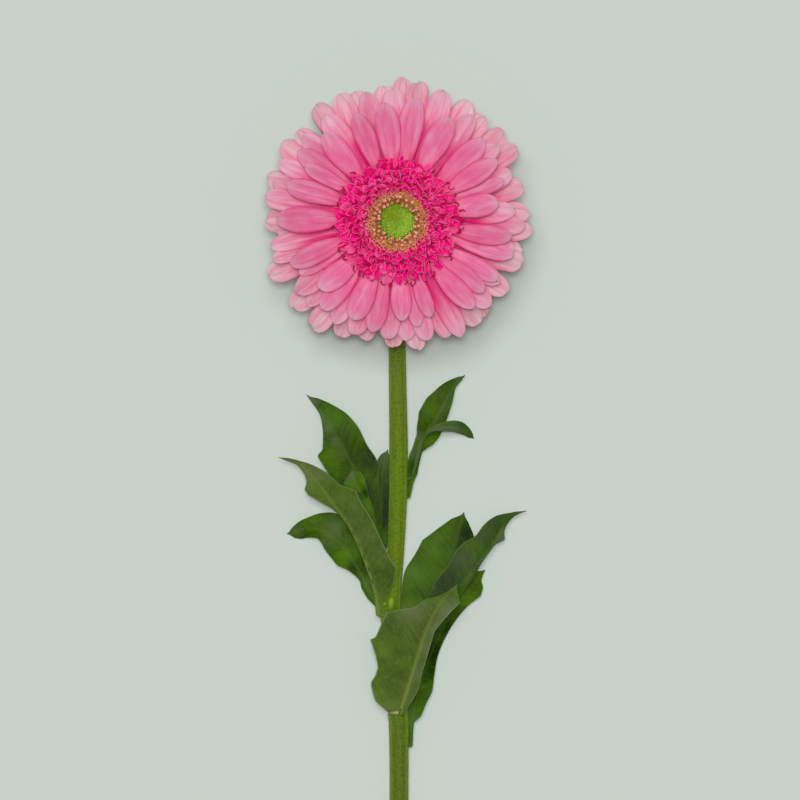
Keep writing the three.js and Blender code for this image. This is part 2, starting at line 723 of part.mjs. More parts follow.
    slope: [0.05, 0.12],
    curl: [0, 0.15],
    wave: 0.2,
  },
];

// The half-width of a margin at a share of the midrib, straight between its points.
function halfWidth(margin, share) {
  const next = Math.max(1, margin.findIndex(([at]) => at >= share));
  const [[from, a], [to, b]] = [margin[next - 1], margin[next]];
  return THREE.MathUtils.mapLinear(share, from, to, a, b);
}

function leafStations({ left, right }) {
  const shares = [...left, ...right].map(([share]) => share).sort((a, b) => a - b);
  return shares.filter((share, i) => share < (shares[i + 1] ?? 2) - 0.025);
}

const MARGIN_WAVES = 3;

function leafGeometry(leaf) {
  const midrib = new THREE.CatmullRomCurve3(leaf.midrib.map((p) => new THREE.Vector3(...p)));
  const up = new THREE.Vector3(0, 0, 1);
  const rows = leafStations(leaf).map((share) => {
    const centre = midrib.getPointAt(share);
    const out = up.clone().cross(midrib.getTangentAt(share)).setZ(0).normalize();
    const point = (margin, side, u) => {
      const across = halfWidth(margin, share) * u;
      const ripple = leaf.wave * Math.sin(2 * Math.PI * MARGIN_WAVES * share + side) * u * u;
      const k = side > 0 ? 0 : 1;
      const rise = leaf.slope[k] * across + leaf.curl[k] * across * u + ripple * Math.min(1, across / 5);
      return centre.clone().addScaledVector(out, side * across).setZ(centre.z + rise);
    };
    return [
      point(leaf.left, 1, 1),
      point(leaf.left, 1, 0.5),
      centre,
      point(leaf.right, -1, 0.5),
      point(leaf.right, -1, 1),
    ];
  });
  return tidyGeometry(bladeGeometry(rows, LEAF_THICKNESS));
}

// The whole plant

function bloomGroup() {
  const bloom = new THREE.Group();
  bloom.add(named("involucre", geometryOf(involucreSolid()), COLOURS.bracts));
  for (const whorl of WHORLS) {
    bloom.add(named(whorl.name, geometryOf(whorlSolid(whorl)), whorl.colour));
  }
  bloom.add(named("trans_florets", geometryOf(transFloretSolid()), COLOURS.transFlorets));
  bloom.add(named("disc_florets", geometryOf(discRingSolid()), COLOURS.discFlorets));
  bloom.add(named("disc_centre", tidyGeometry(discCentreGeometry()), COLOURS.discCentre));
  bloom.position.copy(headPlace);
  bloom.rotation.x = THREE.MathUtils.degToRad(HEAD_LEAN_DEG);
  return bloom;
}

const gerbera = new THREE.Group();
gerbera.add(named("scape", tidyGeometry(scapeGeometry()), COLOURS.scape));
gerbera.add(bloomGroup());
for (const leaf of LEAVES) {
  gerbera.add(named(leaf.name, leafGeometry(leaf), leaf.underside ? COLOURS.leafUnder : COLOURS.leafTop));
}

gerbera.updateMatrixWorld(true);
const box = new THREE.Box3().setFromObject(gerbera, true);
const middle = box.getCenter(new THREE.Vector3());
gerbera.position.set(-middle.x, -middle.y, -box.min.z);

export default gerbera;
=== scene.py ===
import math

import bpy
import numpy as np
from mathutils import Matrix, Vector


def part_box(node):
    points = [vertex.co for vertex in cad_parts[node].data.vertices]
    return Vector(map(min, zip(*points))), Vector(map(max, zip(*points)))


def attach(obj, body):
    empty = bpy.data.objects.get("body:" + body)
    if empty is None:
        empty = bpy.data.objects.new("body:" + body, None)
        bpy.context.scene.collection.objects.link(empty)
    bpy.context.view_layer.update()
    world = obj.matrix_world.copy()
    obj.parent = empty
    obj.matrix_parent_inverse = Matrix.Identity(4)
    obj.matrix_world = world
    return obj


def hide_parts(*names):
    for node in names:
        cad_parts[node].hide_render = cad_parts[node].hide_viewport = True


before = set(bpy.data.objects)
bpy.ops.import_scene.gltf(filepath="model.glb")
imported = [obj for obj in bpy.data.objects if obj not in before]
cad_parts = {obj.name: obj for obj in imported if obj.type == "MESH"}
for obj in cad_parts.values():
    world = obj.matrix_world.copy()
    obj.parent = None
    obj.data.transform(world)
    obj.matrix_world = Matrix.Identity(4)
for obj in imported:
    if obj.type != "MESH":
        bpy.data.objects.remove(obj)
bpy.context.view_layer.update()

# Driving dimensions in millimetres, the same as the CAD part's
CUT_END_Y = -341
NECK_BEND_RADIUS = 20
HEAD_LEAN = math.radians(4)
HEAD_SHIFT_Y = 1.8
SEAT_GAP = 0.4
FLANGE_TOP = 12
BOSS_TOP = 17
BOSS_RADIUS = 9.5
COLLAR_INNER = BOSS_RADIUS + SEAT_GAP
COLLAR_OUTER = 12.3
DISC_RADIUS = 7
BED_BASE = BOSS_TOP + 0.3  # the underside of the beds that carry the florets
FLAT_SHARE = math.cos(math.pi / 16)  # the CAD scape has 16 flat sides
TURN = 2 * math.pi

# Seeds for the chance in each piece
SEEDS = {
    "stem": 11, "stem_down": 12, "green_cup": 67, "petals_outer": 21, "petals_middle": 22,
    "petals_inner": 23, "frilled_ring": 41, "disc_ring": 53, "green_centre": 59,
}

# The photograph: millimetres to a pixel, and the pixel over the bloom's centre
PIXEL = 110 / 264
FRAME_PIXELS = 800
BLOOM_PIXEL = (397, 222)
VIEW_HEIGHT = 25  # height at which the pixel scale holds
LENS = 800

low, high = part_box("scape")
LAYOUT_SHIFT = np.array([(low.x + high.x) * 500, low.y * 1000 - CUT_END_Y, 0])


def to_frame(points):
    return (np.asarray(points, float) + LAYOUT_SHIFT) / 1000


def chance(piece):
    return np.random.default_rng(SEEDS[piece])


# Curves and small sums

CURVE_STEPS = 600


class Curve:
    """A centripetal Catmull-Rom curve, the kind that the CAD part's lines are."""

    def __init__(self, points):
        inner = np.array(points, float)
        self.knots = np.vstack([2 * inner[0] - inner[1], inner, 2 * inner[-1] - inner[-2]])
        self.steps = np.linspace(0, 1, CURVE_STEPS)
        gaps = np.linalg.norm(np.diff(self.at(self.steps), axis=0), axis=1)
        self.travelled = np.concatenate([[0], np.cumsum(gaps)])
        self.length = self.travelled[-1]

    def at(self, t):
        spans = len(self.knots) - 3
        place = np.clip(np.asarray(t, float) * spans, 0, spans - 1e-9)
        i = place.astype(int)
        w = (place - i)[:, None]
        p0, p1, p2, p3 = (self.knots[i + k] for k in range(4))
        d0, d1, d2 = (
            np.sum((b - a) ** 2, axis=1)[:, None] ** 0.25 for a, b in ((p0, p1), (p1, p2), (p2, p3))
        )
        m1 = ((p1 - p0) / d0 - (p2 - p0) / (d0 + d1) + (p2 - p1) / d1) * d1
        m2 = ((p2 - p1) / d1 - (p3 - p1) / (d1 + d2) + (p3 - p2) / d2) * d1
        square = (3 * (p2 - p1) - 2 * m1 - m2) * w**2
        return p1 + m1 * w + square + (2 * (p1 - p2) + m1 + m2) * w**3

    def evenly(self, shares):
        return self.at(np.interp(np.asarray(shares) * self.length, self.travelled, self.steps))


def smooth_through(points, x, corners=()):
    """Heights at x of a curve through points {x: y}. It never overshoots, and turns sharply at corners."""
    px, py = np.array(list(points.items()), float).T
    chord = np.diff(py) / np.diff(px)
    leaving = np.concatenate([[chord[0]], np.zeros(len(px) - 2), [chord[-1]]])
    before, after = chord[:-1], chord[1:]
    same_way = before * after > 0
    leaving[1:-1][same_way] = 2 * before[same_way] * after[same_way] / (before + after)[same_way]
    arriving = leaving.copy()
    sharp = np.isin(px[1:-1], corners)
    arriving[1:-1][sharp] = before[sharp]
    leaving[1:-1][sharp] = after[sharp]
    x = np.clip(x, px[0], px[-1])
    i = np.clip(np.searchsorted(px, x, side="right") - 1, 0, len(px) - 2)
    run = px[i + 1] - px[i]
    w = (x - px[i]) / run
    start = py[i] * (1 + 2 * w) * (1 - w) ** 2 + leaving[i] * run * w * (1 - w) ** 2
    return start + py[i + 1] * w**2 * (3 - 2 * w) + arriving[i + 1] * run * w**2 * (w - 1)


def bezier(root, bend, tip, shares):
    shares = np.asarray(shares)[:, None]
    root, bend, tip = (np.array(point, float) for point in (root, bend, tip))
    return root * (1 - shares) ** 2 + 2 * bend * shares * (1 - shares) + tip * shares**2


def smoothstep(start, end, x):
    w = np.clip((np.asarray(x, float) - start) / (end - start), 0, 1)
    return w * w * (3 - 2 * w)


def bump(x, centre, reach):
    """A soft bump that is 1 at the centre and falls to about a third at its reach."""
    return np.exp(-(((x - centre) / reach) ** 2))


def between(ends, share):
    """What lies this share of the way from the first end to the second."""
    return ends[0] + (ends[1] - ends[0]) * share


def around(count):
    """Angles spread evenly over one turn."""
    return np.arange(count) / count * TURN


def turned(x, y, angle):
    c, s = np.cos(angle), np.sin(angle)
    return x * c - y * s, x * s + y * c


def unit(vectors):
    return vectors / np.maximum(np.linalg.norm(vectors, axis=-1, keepdims=True), 1e-9)


def on_axis(azimuth, radius, sideways, height):
    """Points in the bloom's frame: radius runs out along an azimuth, and sideways to its left."""
    return np.stack(np.broadcast_arrays(*turned(radius, sideways, azimuth), height), axis=-1)


# Meshes

class Shell:
    """Gathers closed surfaces and values at their points, and makes one object of them."""

    def __init__(self, *value_names):
        self.value_names = value_names
        self.points = []
        self.values = []
        self.faces = []
        self.looks = []
        self.smooth = []
        self.count = 0

    def add(self, points, faces, values=(), look=0, rim=()):
        """values has a column for each of the shell's names, or one row for all points."""
        points = np.asarray(points, float).reshape(-1, 3)
        for group in faces:
            self.cover(group, look)
        self.cover(rim, look, smooth=False)
        self.points.append(points)
        self.values.append(np.broadcast_to(values, (len(points), len(self.value_names))))
        self.count += len(points)

    def cover(self, group, look, smooth=True):
        """Faces between the points that are added next."""
        self.faces += (np.asarray(group, int) + self.count).tolist()
        self.looks += [look] * len(group)
        self.smooth += [smooth] * len(group)

    def add_blade(self, middle, shares, u, half_thickness, tint, look=0):
        """A closed blade round a grid of points, with their share, their u and a tint as its values."""
        points, top, bottom, rim = blade(middle, half_thickness, half_thickness)
        along, across = np.meshgrid(shares, u, indexing="ij")
        values = np.stack([along.ravel(), across.ravel(), np.full(along.size, tint)], axis=1)
        self.add(points, [top, bottom], np.tile(values, (2, 1)), look, rim)

    def to_object(self, name, materials, place=to_frame):
        mesh = bpy.data.meshes.new(name)
        mesh.from_pydata(place(np.vstack(self.points)).tolist(), [], self.faces)
        for material in materials:
            mesh.materials.append(material)
        mesh.polygons.foreach_set("material_index", self.looks)
        mesh.polygons.foreach_set("use_smooth", self.smooth)
        for value_name, column in zip(self.value_names, np.vstack(self.values).T):
            attribute = mesh.attributes.new(value_name, "FLOAT", "POINT")
            attribute.data.foreach_set("value", column.astype(np.float32))
        mesh.update()
        return add_to_scene(name, mesh)


def add_to_scene(name, data):
    made = bpy.data.objects.new(name, data)
    bpy.context.scene.collection.objects.link(made)
    return made


def grid_quads(rows, columns):
    """Quads of a grid whose rows run forwards and whose columns run from left to right."""
    a = (np.arange(rows - 1)[:, None] * columns + np.arange(columns - 1)).ravel()
    return np.stack([a, a + 1, a + columns + 1, a + columns], axis=1)


def blade(middle, above, below):
    """A closed blade round a grid of points, this far above and below it: (points, top, bottom, rim)."""
    rows, columns = middle.shape[:2]
    normals = unit(np.cross(np.gradient(middle, axis=0), -np.gradient(middle, axis=1)))
    above, below = (np.broadcast_to(part, (rows, columns))[..., None] for part in (above, below))
    upper = middle + normals * above
    lower = middle - normals * below
    count = rows * columns
    top = grid_quads(rows, columns)
    row, column = np.arange(rows - 1) * columns, np.arange(columns - 1)
    right, tip = row + columns - 1, (rows - 1) * columns + column
    sides = [
        (row, row + columns, row + columns + count, row + count),
        (right, right + count, right + count + columns, right + columns),
        (column, column + count, column + count + 1, column + 1),
        (tip, tip + 1, tip + 1 + count, tip + count),
    ]
    rim = np.vstack([np.stack(corners, axis=1) for corners in sides])
    points = np.concatenate([upper.reshape(-1, 3), lower.reshape(-1, 3)])
    return points, top, top[:, ::-1] + count, rim


def loft_faces(rings, sides):
    """Quads between closed rings, and the fans that close the first and the last one."""
    k = np.arange(sides)
    start = np.arange(rings - 1)[:, None] * sides
    a, b = (start + k).ravel(), (start + (k + 1) % sides).ravel()
    caps = [k[::-1].tolist(), (k + (rings - 1) * sides).tolist()]
    return np.stack([a, b, b + sides, a + sides], axis=1), caps


def lathe(profile, segments=72):
    """A closed ring turned about Z from a profile of [radius, height] that ends where it starts."""
    radius, height = np.array(profile[:-1], float).T
    points = on_axis(around(segments)[:, None], radius, 0, height)
    i, j = np.meshgrid(np.arange(segments), np.arange(len(radius)), indexing="ij")
    near, far = i * len(radius), (i + 1) % segments * len(radius)
    up = (j + 1) % len(radius)
    quads = np.stack([near + j, far + j, far + up, near + up], axis=-1).reshape(-1, 4)
    area = np.roll(radius, -1) * height - radius * np.roll(height, -1)
    if area.sum() > 0:
        quads = quads[:, ::-1]
    return points, [quads]


POINTED_BUD = [[0, 0.75], [0.35, 1], [0.7, 0.8], [0.92, 0.4], [1, 0.08]]
ROUND_BUD = [[0, 0.7], [0.3, 0.95], [0.6, 1], [0.82, 0.8], [0.95, 0.42], [1, 0.1]]
THREAD = [[0, 1], [0.7, 0.8], [0.85, 1.6], [1, 0.7]]


def spikes(shell, roots, directions, lengths, radii, tints, profile=POINTED_BUD, look=0, sides=6):
    """Small bodies on these roots, each a profile of [share of length, share of radius]."""
    theta = around(sides)
    quads, caps = loft_faces(len(profile), sides)
    for root, direction, length, radius, tint in zip(roots, unit(directions), lengths, radii, tints):
        side = unit(np.cross(direction, [0.3, 1, 0.2]))
        other = np.cross(direction, side)
        circle = np.outer(np.cos(theta), side) + np.outer(np.sin(theta), other)
        rings = [root + direction * length * at + radius * wide * circle for at, wide in profile]
        values = np.repeat([[at, 0, tint] for at, _ in profile], sides, axis=0)
        shell.add(np.vstack(rings), [quads, caps], values, look)


# Materials

def srgb(red, green, blue):
    """A colour given as it looks, from 0 to 255, as the linear numbers that shaders take."""
    shares = np.array([red, green, blue]) / 255
    linear = np.where(shares <= 0.04045, shares / 12.92, ((shares + 0.055) / 1.055) ** 2.4)
    return (*linear.tolist(), 1)


class Paint:
    """A material of one Principled shader. Its colour is laid on in coats, given as (red, green, blue)."""

    def __init__(self, name, specular):
        self.material = bpy.data.materials.new(name)
        self.material.use_nodes = True
        self.tree = self.material.node_tree
        self.inputs = self.tree.nodes["Principled BSDF"].inputs
        self.inputs["Specular IOR Level"].default_value = specular
        self.tone = None

    def feed(self, socket, source):
        if isinstance(source, bpy.types.NodeSocket):
            self.tree.links.new(source, socket)
        elif isinstance(source, tuple):
            socket.default_value = srgb(*source)
        else:
            socket.default_value = source

    def node(self, kind, output, sources=(), **settings):
        """The output of a new node. Its inputs come in order, or from a dict by their names or numbers."""
        node = self.tree.nodes.new("ShaderNode" + kind)
        for setting, value in settings.items():
            setattr(node, setting, value)
        for key, source in sources.items() if isinstance(sources, dict) else enumerate(sources):
            self.feed(node.inputs[key], source)
        return node.outputs[output]

    def values(self, *names):
        return [self.node("Attribute", "Fac", attribute_name=name) for name in names]

    def math(self, operation, *sources):
        return self.node("Math", 0, sources, operation=operation)

    def size(self, a):
        return self.math("ABSOLUTE", a)

    def times(self, a, b):
        return self.math("MULTIPLY", a, b)

    def fade(self, value, start, end, low=0, high=1):
        """A smooth step of a value, from low where it is at start to high where it is at end."""
        return self.node("MapRange", 0, (value, start, end, low, high), interpolation_type="SMOOTHSTEP")

    def noise(self, vector, scale, detail=2):
        return self.node("TexNoise", "Fac", {"Vector": vector, "Scale": scale, "Detail": detail})

    def spots(self, scale, detail=2):
        """Noise in the object's own metres: scale is how many spots there are to a metre."""
        return self.noise(self.node("TexCoord", "Object"), scale, detail)

    def streaks(self, x, x_scale, y, y_scale, seed, scale, detail=2):
        place = self.node("CombineXYZ", 0, (self.times(x, x_scale), self.times(y, y_scale), seed))
        return self.noise(place, scale, detail)

    def ramp(self, value, stops):
        """Colours along a value: each stop is (place, colour)."""
        output = self.node("ValToRGB", "Color", [value])
        points = output.node.color_ramp.elements
        while len(points) < len(stops):
            points.new(0.5)
        for point, (place, colour) in zip(points, stops):
            point.position = place
            point.color = srgb(*colour)
        return output

    def mix(self, share, a, b, blend="MIX"):
        return self.node("Mix", 2, {0: share, 6: a, 7: b}, data_type="RGBA", blend_type=blend)

    def coat(self, share, colour, blend="MIX"):
        self.tone = self.mix(share, self.tone, colour, blend)

    def finish(self, rough, height=None, distance=0, strength=1):
        """The material, with this roughness, and bumps of this height over a distance in metres."""
        self.feed(self.inputs["Base Color"], self.tone)
        self.feed(self.inputs["Roughness"], rough)
        if height is not None:
            sources = {"Strength": strength, "Distance": distance, "Height": height}
            self.feed(self.inputs["Normal"], self.node("Bump", 0, sources))
        return self.material


def petal_paint(name, specular):
    """For petals and florets: light goes a little way into them and comes out pink."""
    paint = Paint(name, specular)
    paint.inputs["Subsurface Weight"].default_value = 0.25
    paint.inputs["Subsurface Scale"].default_value = 0.0005
    paint.inputs["Subsurface Radius"].default_value = (1.0, 0.3, 0.6)
    return paint


SEED_SPREAD = 40  # sets the noise of two petals apart by their tint


def petal_material(name, whorl):
    """Pink that pales towards the tip, with fine streaks and a red root. Painted highlights lie along
    broad streaks; painted shade reddens the flanks near the root and the edges, and darkens two grooves
    that also carry vein colour.
    """
    paint = petal_paint(name, 0.06)
    along, across, tint = paint.values("along", "across", "tint")
    side = paint.size(across)
    seed = paint.times(tint, SEED_SPREAD)
    broad = paint.streaks(across, 1.2, along, 2.4, seed, 1.6)
    fine = paint.streaks(across, 9, along, 1.2, seed, 2.2)
    paint.tone = paint.ramp(along, whorl["stops"])
    # painted highlight: the sheen colour laid along broad lengthwise streaks
    paint.coat(paint.fade(broad, 0.45, 0.75, 0, 0.55), whorl["sheen"])
    paint.coat(paint.fade(broad, 0.5, 0.28, 0, 0.3), (232, 72, 134))
    paint.coat(paint.fade(fine, 0.42, 0.7, 0, 0.2), (222, 74, 134))
    # painted shade between the petals: the root's own red is spread up the flanks, most at the edges
    flank_shade = paint.fade(side, 0.1, 0.85, 0.3, 1)
    near_root = paint.fade(along, whorl["root"], whorl["root"] + 0.28, 1, 0)
    paint.coat(paint.times(flank_shade, near_root), (226, 0, 104))
    # painted shade: saturated crimson along both edges, fading out towards the tip
    edge = paint.times(paint.fade(side, 0.72, 0.98, 0, 0.6), paint.fade(along, 1, 0.7))
    paint.coat(edge, (240, 20, 112))
    # darker lines along the two grooves: partly vein colour, partly painted shade in the grooves
    vein_and_groove_shade = paint.fade(paint.size(paint.math("SUBTRACT", side, 0.36)), 0, 0.12, whorl["lines"], 0)
    paint.coat(paint.times(vein_and_groove_shade, paint.fade(along, 0.75, 1, 1, 0.3)), (224, 66, 128))
    margin = paint.times(paint.fade(side, 0.94, 1, 0, 0.3), paint.fade(along, 0.6, 0.9))
    paint.coat(margin, (250, 120, 170))
    tanned = paint.times(paint.fade(tint, 0.35, 0.95, 0, whorl["tan"]), paint.fade(along, 0.9, 1))
    paint.coat(paint.times(tanned, paint.fade(broad, 0.4, 0.65, 0.3, 1)), (198, 156, 144))
    light = paint.mix(paint.fade(tint, -1, 0.6), (235, 229, 238), (243, 247, 253))
    paint.coat(1, light, "MULTIPLY")
    return paint.finish(paint.fade(fine, 0.3, 0.7, 0.48, 0.62), fine, 0.00012, 0.5)


# Tints outside -1 to 1 mark the florets that have a colour of their own
HOOK_TINT = -2
CURL_TINT = 2


def trans_material():
    """Crimson, darker towards the root as painted shade deep in the ring, with pale rims towards the tip
    that are partly a painted highlight.
    """
    paint = petal_paint("trans_florets", 0.1)
    along, across, tint = paint.values("along", "across", "tint")
    side = paint.size(across)
    streak = paint.streaks(across, 3, along, 1, paint.times(tint, SEED_SPREAD), 2)
    # darker towards the root, deep in the ring: painted shade
    stops = [(0, (202, 0, 90)), (0.3, (222, 0, 106)), (0.7, (236, 0, 118)), (1, (250, 16, 138))]
    paint.tone = paint.ramp(along, stops)
    paint.coat(paint.fade(streak, 0.42, 0.7, 0, 0.2), (248, 56, 146))
    paint.coat(paint.fade(tint, 0.5, 1, 0, 0.6), (255, 112, 172))
    paint.coat(paint.fade(tint, -1.2, -1.8, 0, 0.75), (176, 0, 66))
    # pale rims towards the tip: partly the florets' own paler edge, partly a painted highlight on the lit
    # rims
    rim = paint.math("MAXIMUM", paint.fade(side, 0.84, 0.98, 0, 0.7), paint.fade(along, 0.95, 1, 0, 0.3))
    rim = paint.times(rim, paint.fade(along, 0.3, 0.7))
    rim = paint.times(rim, paint.fade(paint.math("MAXIMUM", side, along), 0.985, 1, 1, 0.5))
    paint.coat(paint.times(rim, paint.fade(tint, -1.8, -1.2)), (255, 154, 186))
    paint.coat(paint.fade(tint, 1.2, 1.8, 0, 0.85), (250, 96, 150))
    return paint.finish(0.45, streak, 0.00008, 0.5)


def bed_material(name, dark, light, scale):
    """For the surface between florets and other small round things."""
    paint = Paint(name, 0.06)
    spots = paint.spots(scale, 3)
    paint.tone = paint.mix(paint.fade(spots, 0.35, 0.65), dark, light)
    return paint.finish(0.7, spots, 0.0002, 0.6)


# Small florets and buds: two looks, mixed by their tint, each a colour at the base and at the tip
BUD_LOOKS = {
    "bracts": [[(96, 124, 46), (120, 142, 66)], [(84, 112, 42), (140, 150, 84)]],
    "disc_florets": [[(190, 104, 68), (244, 176, 152)], [(182, 108, 58), (230, 142, 122)]],
    "disc_buds": [[(170, 112, 44), (226, 164, 90)], [(186, 94, 62), (238, 142, 112)]],
    "outer_disc_florets": [[(206, 120, 70), (246, 144, 150)], [(200, 76, 84), (246, 110, 150)]],
    "inner_disc_buds": [[(120, 120, 30), (172, 164, 60)], [(140, 104, 44), (204, 140, 92)]],
    "disc_centre": [[(108, 140, 8), (156, 184, 42)], [(156, 194, 40), (206, 232, 100)]],
    "axil_buds": [[(80, 112, 14), (134, 164, 44)], [(88, 122, 18), (128, 158, 44)]],
    "leaf_scar": [[(110, 122, 60), (176, 176, 122)], [(120, 126, 70), (170, 166, 116)]],
}


def bud_material(name):
    paint = Paint(name, 0.12)
    along, tint = paint.values("along", "tint")
    one, other = (paint.ramp(along, [(0.1, base), (0.95, tip)]) for base, tip in BUD_LOOKS[name])
    paint.tone = paint.mix(paint.fade(tint, -0.6, 0.6), one, other)
    return paint.finish(0.5, paint.spots(3000), 0.00005, 0.4)


def scape_material():
    paint = Paint("scape", 0.08)
    along, across = paint.values("along", "across")
    # greener along the middle; towards the bloom the stem turns greyer: painted shade where the bloom's
    # shadow falls
    stops = [
        (0, (72, 92, 20)), (0.36, (74, 96, 18)), (0.47, (86, 112, 4)),
        (0.64, (86, 114, 2)), (0.74, (86, 108, 24)), (0.84, (94, 110, 50)),
    ]
    paint.tone = paint.ramp(along, stops)
    # painted shade: the left side (towards -X) greyer and darker
    paint.coat(paint.fade(across, -0.2, -1, 0, 0.5), (88, 102, 52))
    # painted highlight: both sides paler green, most at the very edges
    paint.coat(paint.fade(paint.size(across), 0.5, 1, 0, 0.85), (126, 156, 50))
    streak = paint.streaks(across, 3, along, 12, 0, 4)
    paint.coat(paint.fade(streak, 0.35, 0.7, 0, 0.3), (118, 146, 30))
    mottle = paint.spots(1500, 3)
    paint.coat(paint.fade(mottle, 0.4, 0.75, 0, 0.35), (126, 150, 48))
    paint.coat(paint.fade(paint.spots(900), 0.5, 0.7, 0, 0.5), (54, 76, 12))
    return paint.finish(paint.fade(mottle, 0.3, 0.7, 0.45, 0.65), mottle, 0.00012, 0.6)


def cut_material():
    """The cut end: pale and moist inside, green towards the skin."""
    paint = Paint("cut_end", 0.5)
    [edge] = paint.values("across")
    grain = paint.spots(2500, 3)
    stops = [(0, (214, 220, 176)), (0.7, (196, 208, 140)), (0.88, (150, 172, 78)), (1, (96, 122, 40))]
    paint.tone = paint.ramp(edge, stops)
    paint.coat(paint.fade(grain, 0.4, 0.7, 0, 0.4), (166, 178, 110))
    return paint.finish(0.4, grain, 0.0002, 0.6)


def leaf_material(name, dark, light, painted_sheen, vein, rough, relief, edge):
    """The painted light and shade, from dark to light, and the painted grey sheen are set on each leaf.
    relief is how strongly the side veins show.
    """
    paint = Paint(name, 0.035)
    names = ("along", "across", "veins", "painted_shading", "painted_sheen", "rib")
    along, across, veins, painted_shading, sheen_share, rib = paint.values(*names)
    side = paint.size(across)
    line = paint.size(paint.math("SUBTRACT", paint.math("FRACT", veins), 0.5))
    net = paint.spots(700, 3)
    broad = paint.spots(110, 4)
    brushed = paint.streaks(veins, 1.6, across, 0.7, 0, 2.4, 3)
    # the broad and brushed noise adds random tone to the painted light and shade
    for noise, reach in ((broad, 0.25), (brushed, 0.15)):
        painted_shading = paint.math("ADD", painted_shading, paint.fade(noise, 0.3, 0.7, -reach, reach))
    paint.tone = paint.mix(paint.fade(painted_shading, -1, 1), dark, light)
    # painted sheen: a grey sheen laid where the leaf's spots ask for it
    paint.coat(sheen_share, painted_sheen)
    thin = paint.times(paint.fade(line, 0.45, 0.5), paint.fade(side, 0.6, 1, 1, 0))
    paint.coat(paint.times(thin, relief), vein)
    paint.coat(paint.fade(net, 0.5, 0.72, 0, 0.2), vein)
    paint.coat(rib, vein)
    paint.coat(paint.fade(side, 0.96, 1, 0, edge), (150, 168, 116))
    paint.coat(paint.fade(along, 0, 0.1, 0.2, 0), vein)
    height = paint.math("ADD", net, paint.times(thin, -0.4))
    return paint.finish(paint.fade(net, 0.3, 0.7, rough - 0.07, rough + 0.07), height, 0.0001, 0.6)


def hair_material():
    paint = Paint("down", 0.2)
    paint.tone = paint.mix(paint.spots(200), (124, 142, 70), (170, 184, 120))
    return paint.finish(0.5)


# The scape and the receptacle

# [y, x, radius] of the scape where it lies on the surface, from the cut end to the neck's bend
SCAPE_LINE = [
    [CUT_END_Y, 1.8, 4.15], [-300, 1.3, 4.05], [-255, 0.8, 4.0], [-220, 0.8, 4.1], [-205, 0.6, 4.35],
    [-190, -0.4, 4.0], [-173, -2.0, 4.0], [-163, -2.6, 4.45], [-152, -1.6, 3.6], [-137, -0.6, 3.6],
    [-116, 0.3, 3.95], [-95, 0.6, 3.95], [-72, 0.3, 3.75], [-50, 0, 3.65],
    [HEAD_SHIFT_Y - NECK_BEND_RADIUS, 0, 3.55],
]
# [height, radius] up the bloom's axis
RECEPTACLE = np.array([
    [0, 3.6], [2, 5.0], [5, 8.4], [8.5, 10.9], [FLANGE_TOP - 0.6, 11.9], [FLANGE_TOP, 11.4],
    [FLANGE_TOP, BOSS_RADIUS], [BOSS_TOP, BOSS_RADIUS - 0.1],
])
SCAPE_SIDES = 48
SCAPE_RINGS = 300
BEND_RINGS = 28
RIBS = 11
RIB_HEIGHT = 0.05
RIB_WANDER = 0.08  # how unevenly the ribs run, in radians of their wave from one ring to the next
CUT_SLANT = 0.6
CUT_RINGS = (1, 0.93, 0.8, 0.6, 0.35, 0.1)  # shares of the cut end's radius
CUT_ROUGHNESS = 0.05
PUSHED_RINGS = 4  # the first rings, which the slanted cut pushes along
LEAST_STEP = 0.15  # from one of them to the next
HAIRS = 11000  # before those under the stem and next to the cut are left out
HAIR_LENGTH = [0.25, 0.6]
HAIR_RADIUS = 0.028
HAIR_DEPTH = 0.06  # of a hair's root under the skin, and its base lies HAIR_BASE deeper
HAIR_BASE = 0.05
HAIR_LEAN = 0.35
HAIR_SCATTER = 0.22
HAIRLESS_HEIGHT = 0.6  # the underside has no hairs up to here
HAIRLESS_END = 6  # nor has this length next to the cut

scape_curve = Curve([[x, y, radius] for y, x, radius in SCAPE_LINE])
NECK_RADIUS = SCAPE_LINE[-1][2]
BEND_CENTRE = np.array([0, HEAD_SHIFT_Y - NECK_BEND_RADIUS, NECK_RADIUS * FLAT_SHARE + NECK_BEND_RADIUS])
BEND_END = math.pi / 2 + HEAD_LEAN
HEAD_PLACE = BEND_CENTRE + NECK_BEND_RADIUS * np.array([0, math.sin(BEND_END), -math.cos(BEND_END)])


def bloom_to_frame(points):
    """From the bloom's own millimetres, whose axis is +Z, to the CAD's frame."""
    x, y, z = np.asarray(points, float).T
    return to_frame(np.stack([x, *turned(y, z, HEAD_LEAN)], axis=1) + HEAD_PLACE)


def scape_sections():
    """Rings along the whole stem as (centre, up, radius, rib height). Across them is always X."""
    sections = []
    for x, y, radius in scape_curve.at(np.linspace(0, 1, SCAPE_RINGS)):
        flat = radius * FLAT_SHARE
        sections.append(([x, y, flat], [0, 0, 1], flat, RIB_HEIGHT))
    for angle in np.linspace(0, BEND_END, BEND_RINGS)[1:]:
        out = np.array([0, math.sin(angle), -math.cos(angle)])
        sections.append((BEND_CENTRE + NECK_BEND_RADIUS * out, -out, NECK_RADIUS * FLAT_SHARE, RIB_HEIGHT))
    axis = np.array([0, math.cos(BEND_END), math.sin(BEND_END)])
    up = np.cross([1, 0, 0], axis)
    for ends in zip(RECEPTACLE, RECEPTACLE[1:]):
        for share in (0.25, 0.5, 0.75, 1):
            level, wide = between(ends, share)
            sections.append((HEAD_PLACE + axis * level, up, wide, 0))
    return sections


